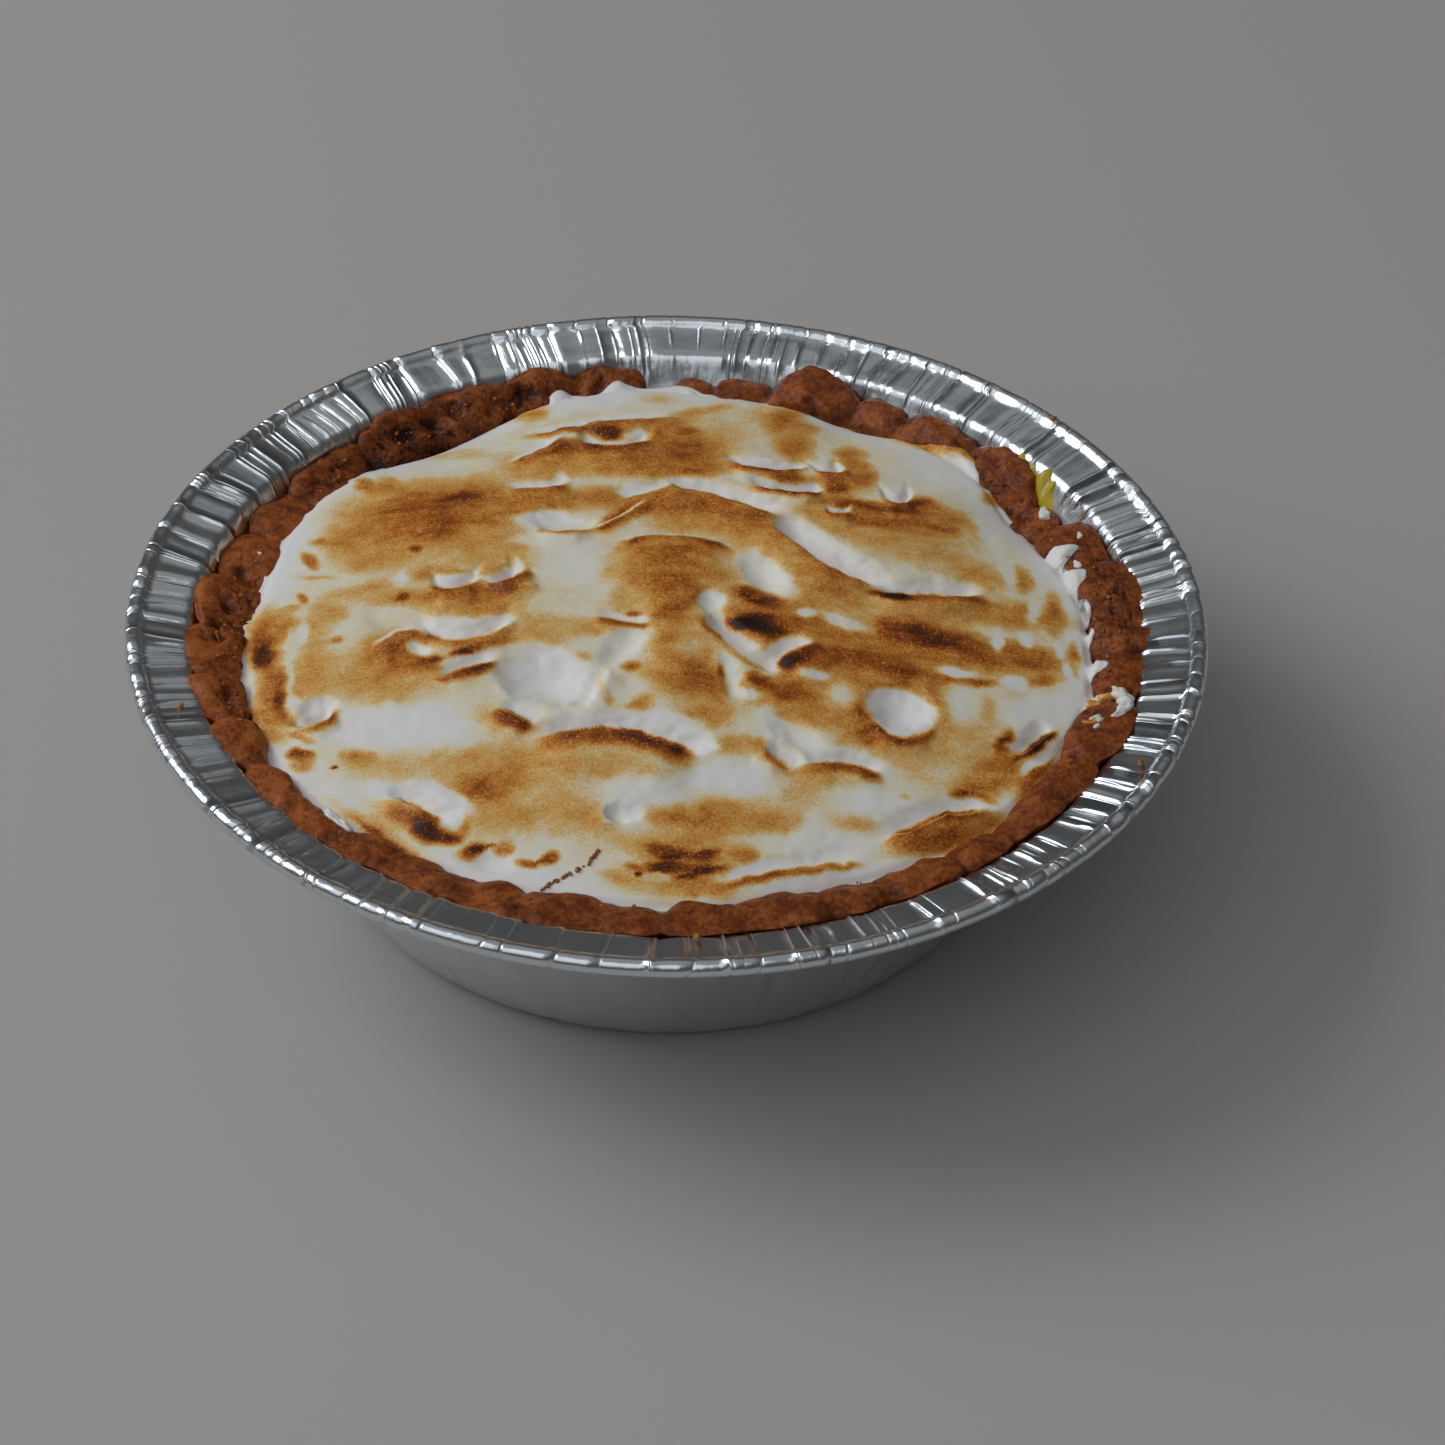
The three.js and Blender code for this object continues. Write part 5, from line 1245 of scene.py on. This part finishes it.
# The side of the foil that the curd clings to, from the wall up over the corner to the rim.
CURD_COURSE = ((54.3, 26.6), (55.2, 28.2), (55.9, 29.5), (56.3, 30.15), (56.9, 30.35), (57.6, 30.45))
# How far along its course the strip goes, from its ends to its middle, and where it goes further.
CURD_END, CURD_SWELL, CURD_RAGGED = 0.12, 0.3, 0.16
CURD_RADIUS = 56
CURD_TIPS = ((38.4, 1.0, 0.25), (36.0, 1.0, 0.3), (33.4, 1.1, 0.42), (31.5, 0.6, 0.2))


def curd_mesh(thickness):
    """Curd that has seeped out between the crust and the foil, as a thin strip on the wall."""
    part = np.linspace(0, 1, CURD_COLUMNS)
    angle = np.radians(CURD_ARC[0] + (CURD_ARC[1] - CURD_ARC[0]) * part)
    swell = np.sin(np.pi * part) ** 0.5
    ragged = CURD_RAGGED * flat_noise(angle * CURD_RADIUS, 0 * angle, 1.6, 71)
    end = CURD_END + CURD_SWELL * swell + ragged * swell
    end += bumps_at(angle, CURD_TIPS)
    course = np.array(CURD_COURSE)
    along = np.linspace(0, 1, len(course))
    over, under = [], []
    for row in range(CURD_ROWS):
        share = row / (CURD_ROWS - 1)
        place = np.minimum(1, share * end)
        radius, height = (np.interp(place, along, course[:, axis]) for axis in (0, 1))
        uneven = 1 + 0.4 * flat_noise(angle * CURD_RADIUS, 0 * angle + 3 * share, 1.1, 72)
        thick = thickness * swell * (1 - share) ** 0.5 * uneven
        over.append(at_angle(radius - 0.85 * thick, angle, height + 0.5 * thick + 0.05))
        under.append(at_angle(radius + 0.25, angle, height - 0.1))
    grid = np.array(over + under[::-1]).transpose(1, 0, 2)
    points = np.concatenate([grid.reshape(-1, 3), grid[:1].mean(1), grid[-1:].mean(1)])
    return points, tube_faces(len(grid), grid.shape[1])


# ---------------------------------------------------------------- bits on the crust

# Bits of meringue that lie on the crust, as overlapping dabs: angle in degrees and radius of the
# middle, half length, half width, turn from outwards in degrees, thickness and scorch level.
MERINGUE_DABS = (
    (-132.8, 52.3, 1.5, 0.5, 82, 0.5, 0.0), (-135.2, 52.1, 1.3, 0.65, 90, 0.6, 0.0),
    (-16.8, 51.6, 1.0, 0.45, 10, 0.6, 0.55), (-15.6, 52.8, 1.1, 0.5, 25, 0.8, 0.4),
    (-14.9, 54.0, 1.2, 0.7, -30, 1.0, 0.05), (-16.0, 55.1, 1.2, 0.9, -80, 1.1, 0.0),
    (-17.4, 55.3, 1.2, 0.7, -110, 0.9, 0.0), (-18.8, 54.8, 0.9, 0.45, -130, 0.6, 0.0),
    (-15.6, 51.2, 1.2, 0.8, 60, 0.6, 0.15), (-20.6, 52.6, 0.8, 0.5, 40, 0.5, 0.1),
    (-21.6, 52.2, 0.9, 0.35, 10, 0.4, 0.5), (-22.2, 53.0, 0.5, 0.35, 80, 0.35, 0.0),
    (28.6, 52.6, 0.9, 0.7, 60, 0.6, 0.0), (30.0, 53.3, 0.7, 0.5, 0, 0.5, 0.0),
    (14.8, 51.0, 0.9, 0.35, 100, 0.4, 0.0), (19.6, 53.0, 0.6, 0.35, 60, 0.4, 0.1),
    (47.8, 51.4, 0.3, 0.2, 0, 0.2, 0.0), (46.5, 51.0, 0.5, 0.2, 50, 0.2, 0.0),
    (45.4, 51.6, 0.3, 0.15, 80, 0.2, 0.05), (-150.0, 50.4, 0.4, 0.2, 60, 0.2, 0.0),
    (165.0, 51.0, 0.3, 0.2, 0, 0.2, 0.0),
)
DAB_RINGS = 9
DAB_SIDES = 18


def dab_mesh(dabs, lumpiness, seed):
    """Rounded, uneven dabs in one mesh; each is (place, half sizes x, y, z, turn)."""
    points, faces = [], []
    rise = np.linspace(-0.5, 0.5, DAB_RINGS + 2)[1:-1] * math.pi
    side = np.arange(DAB_SIDES) * math.tau / DAB_SIDES
    ball = [(math.cos(a) * math.cos(b), math.cos(a) * math.sin(b), math.sin(a)) for a in rise for b in side]
    ball = np.array(ball + [(0, 0, -1), (0, 0, 1)])
    for index, (place, halves, turn) in enumerate(dabs):
        uneven = 1 + lumpiness * noise(ball + 7 * index, 0.7, seed)
        shape = ball * halves * uneven[:, None]
        cos, sin = math.cos(turn), math.sin(turn)
        x, y = shape[:, 0] * cos - shape[:, 1] * sin, shape[:, 0] * sin + shape[:, 1] * cos
        start = index * len(ball)
        points.append(np.stack([x, y, shape[:, 2]], 1) + place)
        faces += [tuple(start + corner for corner in face) for face in tube_faces(DAB_RINGS, DAB_SIDES)]
    return np.concatenate(points), faces


def meringue_bits_mesh(size):
    """The bits' points and faces, and how scorched each point is."""
    dabs = []
    for degrees, radius, along, across, turn, thick, _ in MERINGUE_DABS:
        angle = np.radians([degrees])
        place = at_angle(np.array([radius]), angle, crust_height(angle, radius) + 0.3 * thick)[0]
        dabs.append((place, (along * size, across * size, thick * size * 0.8), angle[0] + math.radians(turn)))
    points, faces = dab_mesh(dabs, 0.6, 81)
    scorch = np.repeat([dab[-1] for dab in MERINGUE_DABS], len(points) // len(dabs))
    return points, faces, scorch * (1 + 0.5 * noise(points, 0.5, 82))


def crumb_material(colour):
    material, tree, shader = new_material("Pie Crumbs", colour, 0.5)
    add_bump(tree, shader, noise_node(tree, 0.3, 2), 0.6, 0.1)
    return material


# Where crumbs have broken off: middle and half width in degrees, and share of all crumbs.
CRUMB_PLACES = (
    (176, 14, 0.2), (-165, 16, 0.3), (130, 24, 0.1), (-140, 14, 0.1), (5, 24, 0.15), (-60, 60, 0.15),
)
CRUMB_HALF_SIZES = (0.07, 0.25)
CRUMB_SEED = 9
# How far from the meringue crumbs start, how far they spread, and how they crowd to it.
CRUMB_START, CRUMB_SPREAD, CRUMB_CROWDING = 0.9, 2.6, 1.6

# Crumbs that have fallen on the rim: angle in degrees and radius. The rim's height at radii.
FALLEN_CRUMBS = ((-160.5, 58.5), (-86.3, 57.6), (-27, 60.0), (39.5, 62.2))
FALLEN_HALF_SIZE = 0.38
RIM_RADII, RIM_HEIGHTS = (57, 61, 62.3), (30.5, 31.3, 32.2)

# Crumbs that lie in lines on the meringue: from x, y, to x, y, and how many.
CRUMB_LINES = (
    (-13.4, -47.4, -9.6, -44.9, 34), (-9.6, -44.9, -8.2, -43.9, 16), (-8.0, -43.6, -7.2, -42.0, 22),
)
LINE_HALF_SIZES = (0.08, 0.22)
LINE_STRAY = (-0.15, 0.15)


def crumbs_mesh(count):
    """Crumbs along the crust's inner side, on the rim and in lines on the meringue."""
    random = np.random.default_rng(CRUMB_SEED)
    middles, halves, shares = np.array(CRUMB_PLACES).T
    chosen = random.choice(len(shares), count, p=shares / shares.sum())
    angle = np.radians(middles[chosen] + halves[chosen] * random.uniform(-1, 1, count))
    radius = meringue_radius(angle) + CRUMB_START + CRUMB_SPREAD * random.random(count) ** CRUMB_CROWDING
    height = crust_height(angle, radius)
    half = random.uniform(*CRUMB_HALF_SIZES, count)
    fallen_angle, fallen_radius = np.array(FALLEN_CRUMBS).T
    angle, radius = np.append(angle, np.radians(fallen_angle)), np.append(radius, fallen_radius)
    height = np.append(height, np.interp(fallen_radius, RIM_RADII, RIM_HEIGHTS))
    half = np.append(half, np.full(len(FALLEN_CRUMBS), FALLEN_HALF_SIZE))
    for x0, y0, x1, y1, some in CRUMB_LINES:
        part = random.uniform(0, 1, some)
        x = x0 + (x1 - x0) * part + random.uniform(*LINE_STRAY, some)
        y = y0 + (y1 - y0) * part + random.uniform(*LINE_STRAY, some)
        angle, radius = np.append(angle, np.arctan2(y, x)), np.append(radius, np.hypot(x, y))
        height = np.append(height, meringue_height(x, y)[0])
        half = np.append(half, random.uniform(*LINE_HALF_SIZES, some))
    places = at_angle(radius, angle, height + 0.4 * half)
    sizes = half[:, None] * random.uniform(0.7, 1.3, (len(half), 3))
    return dab_mesh(list(zip(places, sizes, random.uniform(0, math.tau, len(half)))), 0.5, 83)


def curd_material(colour):
    material, tree, shader = new_material("Pie Lemon Curd", colour, 0.25)
    shader.inputs["Transmission Weight"].default_value = 0.25
    shader.inputs["Subsurface Weight"].default_value = 0.2
    shader.inputs["Subsurface Scale"].default_value = 0.5 * MM
    add_bump(tree, shader, noise_node(tree, 0.8, 2), 0.4, 0.1)
    return material


# ---------------------------------------------------------------- properties


class FoilDishSettings(bpy.types.PropertyGroup):
    pleat_gap: FloatProperty(
        name="Pleat Gap",
        description="Mean distance between the rim's pleats",
        default=0.0023,
        min=0.0008,
        max=0.008,
        unit="LENGTH",
        subtype="DISTANCE",
    )
    pleat_height: FloatProperty(
        name="Pleat Height",
        description="Height of the tallest pleats",
        default=0.00042,
        min=0,
        max=0.0015,
        unit="LENGTH",
        subtype="DISTANCE",
    )
    roughness: FloatProperty(
        name="Roughness",
        description="How dull the foil is",
        default=0.25,
        min=0.09,
        max=0.9,
        subtype="FACTOR",
    )
    colour: FloatVectorProperty(
        name="Colour",
        description="Colour of the foil",
        default=(0.77, 0.81, 0.84),
        min=0,
        max=1,
        size=3,
        subtype="COLOR",
    )


class CrustSettings(bpy.types.PropertyGroup):
    roughening: FloatProperty(
        name="Roughening",
        description="Depth of the crust's dents and pits, as a factor",
        default=1.0,
        min=0,
        max=2,
    )
    colour: FloatVectorProperty(
        name="Colour",
        description="Middle colour of the baked crust",
        default=(0.235, 0.0525, 0.0075),
        min=0,
        max=1,
        size=3,
        subtype="COLOR",
    )


class MeringueSettings(bpy.types.PropertyGroup):
    rings: IntProperty(
        name="Rings",
        description="Number of rings of faces in the meringue's top",
        default=170,
        min=20,
        max=180,
    )
    colour: FloatVectorProperty(
        name="Colour",
        description="Colour of the meringue where the torch has not touched it",
        default=(0.92, 0.905, 0.87),
        min=0,
        max=1,
        size=3,
        subtype="COLOR",
    )


class CurdSettings(bpy.types.PropertyGroup):
    thickness: FloatProperty(
        name="Thickness",
        description="Thickness of the strip of curd",
        default=0.0011,
        min=0.0003,
        max=0.002,
        unit="LENGTH",
        subtype="DISTANCE",
    )
    colour: FloatVectorProperty(
        name="Colour",
        description="Colour of the curd",
        default=(0.74, 0.57, 0.028),
        min=0,
        max=1,
        size=3,
        subtype="COLOR",
    )


class BitsSettings(bpy.types.PropertyGroup):
    size: FloatProperty(
        name="Size",
        description="Size of the bits of meringue, as a factor",
        default=1.0,
        min=0.2,
        max=2,
    )
    crumbs: IntProperty(
        name="Crumbs",
        description="Number of crumbs on the crust",
        default=170,
        min=1,
        max=300,
    )
    crumb_colour: FloatVectorProperty(
        name="Crumb Colour",
        description="Colour of the crumbs",
        default=(0.38, 0.145, 0.035),
        min=0,
        max=1,
        size=3,
        subtype="COLOR",
    )


class StageSettings(bpy.types.PropertyGroup):
    floor_colour: FloatVectorProperty(
        name="Floor Colour",
        description="Colour of the table",
        default=(0.53, 0.505, 0.48),
        min=0,
        max=1,
        size=3,
        subtype="COLOR",
    )
    window_power: FloatProperty(
        name="Window Light",
        description="Power of the large light behind the pie on the left",
        default=8.4,
        min=0,
        unit="POWER",
    )
    front_power: FloatProperty(
        name="Front Light",
        description="Power of the soft light high in front",
        default=3.8,
        min=0,
        unit="POWER",
    )
    back_power: FloatProperty(
        name="Back Light",
        description="Power of the high light behind the pie, which shows in the foil",
        default=0.08,
        min=0,
        unit="POWER",
    )
    room_light: FloatProperty(
        name="Room Light",
        description="Strength of the even light from all round",
        default=0.2,
        min=0,
    )


# ---------------------------------------------------------------- operators


class PIE_OT_add_foil_dish(bpy.types.Operator):
    """Add the foil dish with its pleated rim"""

    bl_idname = "pie.add_foil_dish"
    bl_label = "Add Foil Dish"

    def execute(self, context):
        settings = context.scene.pie_foil_dish
        points, faces, unrolled, ridge = foil_dish_mesh(settings.pleat_gap / MM, settings.pleat_height / MM)
        material = foil_material(tuple(settings.colour), settings.roughness)
        values = {"unrolled": unrolled, "ridge": ridge}
        add_piece("Foil_Dish", points, faces, material, "foil", "foil_dish", **values)
        return {"FINISHED"}


class PIE_OT_add_crust(bpy.types.Operator):
    """Add the crust with its pinched, crumbly edge"""

    bl_idname = "pie.add_crust"
    bl_label = "Add Crust"

    def execute(self, context):
        settings = context.scene.pie_crust
        points, faces, shade, pores, slitted, around = crust_mesh(settings.roughening)
        # The crust's painted shading in its hollows, and its tone round the pie, go to its material as an
        # attribute.
        values = {"shade": shade, "pores": pores, "slitted": slitted, "around": around}
        material = crust_material(tuple(settings.colour))
        add_piece("Crust", points, faces, material, "crust", "crust", **values)
        return {"FINISHED"}


class PIE_OT_add_meringue(bpy.types.Operator):
    """Add the folded and torched meringue"""

    bl_idname = "pie.add_meringue"
    bl_label = "Add Meringue"

    def execute(self, context):
        settings = context.scene.pie_meringue
        points, faces, scorch = meringue_mesh(settings.rings)
        material = meringue_material(tuple(settings.colour))
        add_piece("Meringue", points, faces, material, "meringue", "meringue", scorch=scorch)
        return {"FINISHED"}


class PIE_OT_add_curd(bpy.types.Operator):
    """Add the lemon curd that has seeped out at the crust's back"""

    bl_idname = "pie.add_curd"
    bl_label = "Add Lemon Curd"

    def execute(self, context):
        settings = context.scene.pie_curd
        points, faces = curd_mesh(settings.thickness / MM)
        add_piece("Lemon_Curd", points, faces, curd_material(tuple(settings.colour)), "curd", "lemon_curd")
        return {"FINISHED"}


class PIE_OT_add_bits(bpy.types.Operator):
    """Add the bits of meringue and the crumbs that lie on the crust and the rim"""

    bl_idname = "pie.add_bits"
    bl_label = "Add Bits"

    def execute(self, context):
        settings = context.scene.pie_bits
        points, faces, scorch = meringue_bits_mesh(settings.size)
        white = tuple(context.scene.pie_meringue.colour)
        material = bpy.data.materials.get("Pie Meringue") or meringue_material(white)
        add_piece("Meringue_Bits", points, faces, material, "meringue", scorch=scorch)
        points, faces = crumbs_mesh(settings.crumbs)
        material = crumb_material(tuple(settings.crumb_colour))
        add_piece("Crumbs", points, faces, material, "crust")
        return {"FINISHED"}


# The camera: where it stands in metres, its turn in degrees, and its lens in millimetres.
CAMERA_PLACE = (0, -0.3745, 0.3127)
CAMERA_DOWN, CAMERA_TURN, CAMERA_ROLL = 38.54, 1.04, 1.54
CAMERA_LENS = 99.19
SENSOR_WIDTH = 36

# The lights: name, place and size in metres, and the setting that holds the power.
LIGHTS = (
    ("Window", (-1.1, 0.25, 0.9), (0.9, 0.9), "window_power"),
    ("Front", (-0.5, -0.8, 1.2), (1.6, 1.3), "front_power"),
    ("Back", (0.15, 0.75, 1.5), (1.3, 0.5), "back_power"),
)
DAYLIGHT = (0.95, 0.985, 1.04)

# How bright the room is at heights on the unit sphere round the pie.
ROOM_TONES = ((0.0, 0.36), (0.3, 0.28), (0.55, 0.36), (0.9, 1.2))

TABLE_SIZE = 4
TABLE_ROUGHNESS = 0.9


def add_light(name, place, size, power):
    light = bpy.data.lights.new(name, "AREA")
    light.shape = "RECTANGLE"
    light.size, light.size_y = size
    light.energy = power
    light.color = DAYLIGHT
    lamp = bpy.data.objects.new(name, light)
    lamp.location = place
    lamp.rotation_euler = (-Vector(place)).to_track_quat("-Z", "Y").to_euler()
    bpy.context.scene.collection.objects.link(lamp)


def room(strength):
    """Even light that is brighter overhead than near the table."""
    world = bpy.data.worlds.new("Room")
    world.use_nodes = True
    tree = world.node_tree
    split = add_node(tree, "ShaderNodeSeparateXYZ")
    tree.links.new(add_node(tree, "ShaderNodeTexCoord").outputs["Generated"], split.inputs[0])
    stops = [(height, (tone, tone, tone)) for height, tone in ROOM_TONES]
    tone = ramp_node(tree, split.outputs["Z"], stops)
    background = tree.nodes["Background"]
    tree.links.new(tone, background.inputs["Color"])
    background.inputs["Strength"].default_value = strength
    return world


def add_camera():
    """A camera that looks down, is turned aside and is rolled about its own axis."""
    lens = bpy.data.cameras.new("Camera")
    lens.sensor_width = SENSOR_WIDTH
    lens.lens = CAMERA_LENS
    camera = bpy.data.objects.new("Camera", lens)
    down, turn, roll = (math.radians(angle) for angle in (CAMERA_DOWN, CAMERA_TURN, CAMERA_ROLL))
    forward = Vector((math.sin(turn) * math.cos(down), math.cos(turn) * math.cos(down), -math.sin(down)))
    right = Vector((math.cos(turn), -math.sin(turn), 0))
    up = right.cross(forward)
    across = math.cos(roll) * right + math.sin(roll) * up
    upright = math.cos(roll) * up - math.sin(roll) * right
    turned = Matrix((across, upright, -forward)).transposed().to_4x4()
    camera.matrix_world = Matrix.Translation(CAMERA_PLACE) @ turned
    bpy.context.scene.collection.objects.link(camera)
    return camera


class PIE_OT_add_stage(bpy.types.Operator):
    """Add the table, the soft light and the camera"""

    bl_idname = "pie.add_stage"
    bl_label = "Add Stage"

    def execute(self, context):
        scene = context.scene
        settings = scene.pie_stage
        bpy.ops.mesh.primitive_plane_add(size=TABLE_SIZE)
        floor = context.object
        floor.name = "Table"
        material, _, _ = new_material("Table", tuple(settings.floor_colour), TABLE_ROUGHNESS)
        floor.data.materials.append(material)
        for name, place, size, power in LIGHTS:
            add_light(name, place, size, getattr(settings, power))
        scene.world = room(settings.room_light)
        scene.camera = add_camera()
        scene.view_settings.view_transform = "Standard"
        return {"FINISHED"}


# ---------------------------------------------------------------- panel and registration

SETTINGS = (
    ("pie_foil_dish", FoilDishSettings, PIE_OT_add_foil_dish),
    ("pie_crust", CrustSettings, PIE_OT_add_crust),
    ("pie_meringue", MeringueSettings, PIE_OT_add_meringue),
    ("pie_curd", CurdSettings, PIE_OT_add_curd),
    ("pie_bits", BitsSettings, PIE_OT_add_bits),
    ("pie_stage", StageSettings, PIE_OT_add_stage),
)


class VIEW3D_PT_pie(bpy.types.Panel):
    bl_label = "Lemon Meringue Pie"
    bl_idname = "VIEW3D_PT_pie"
    bl_space_type = "VIEW_3D"
    bl_region_type = "UI"
    bl_category = "Pie"

    def draw(self, context):
        for key, settings, operator in SETTINGS:
            box = self.layout.box()
            for name in settings.__annotations__:
                box.prop(getattr(context.scene, key), name)
            box.operator(operator.bl_idname)


def register():
    for key, settings, operator in SETTINGS:
        bpy.utils.register_class(settings)
        bpy.utils.register_class(operator)
        setattr(bpy.types.Scene, key, PointerProperty(type=settings))
    bpy.utils.register_class(VIEW3D_PT_pie)


def unregister():
    bpy.utils.unregister_class(VIEW3D_PT_pie)
    for key, settings, operator in reversed(SETTINGS):
        delattr(bpy.types.Scene, key)
        bpy.utils.unregister_class(operator)
        bpy.utils.unregister_class(settings)


def main():
    register()
    bpy.ops.pie.add_foil_dish()
    bpy.ops.pie.add_crust()
    bpy.ops.pie.add_meringue()
    bpy.ops.pie.add_curd()
    bpy.ops.pie.add_bits()
    bpy.ops.pie.add_stage()


if __name__ == "__main__":
    main()
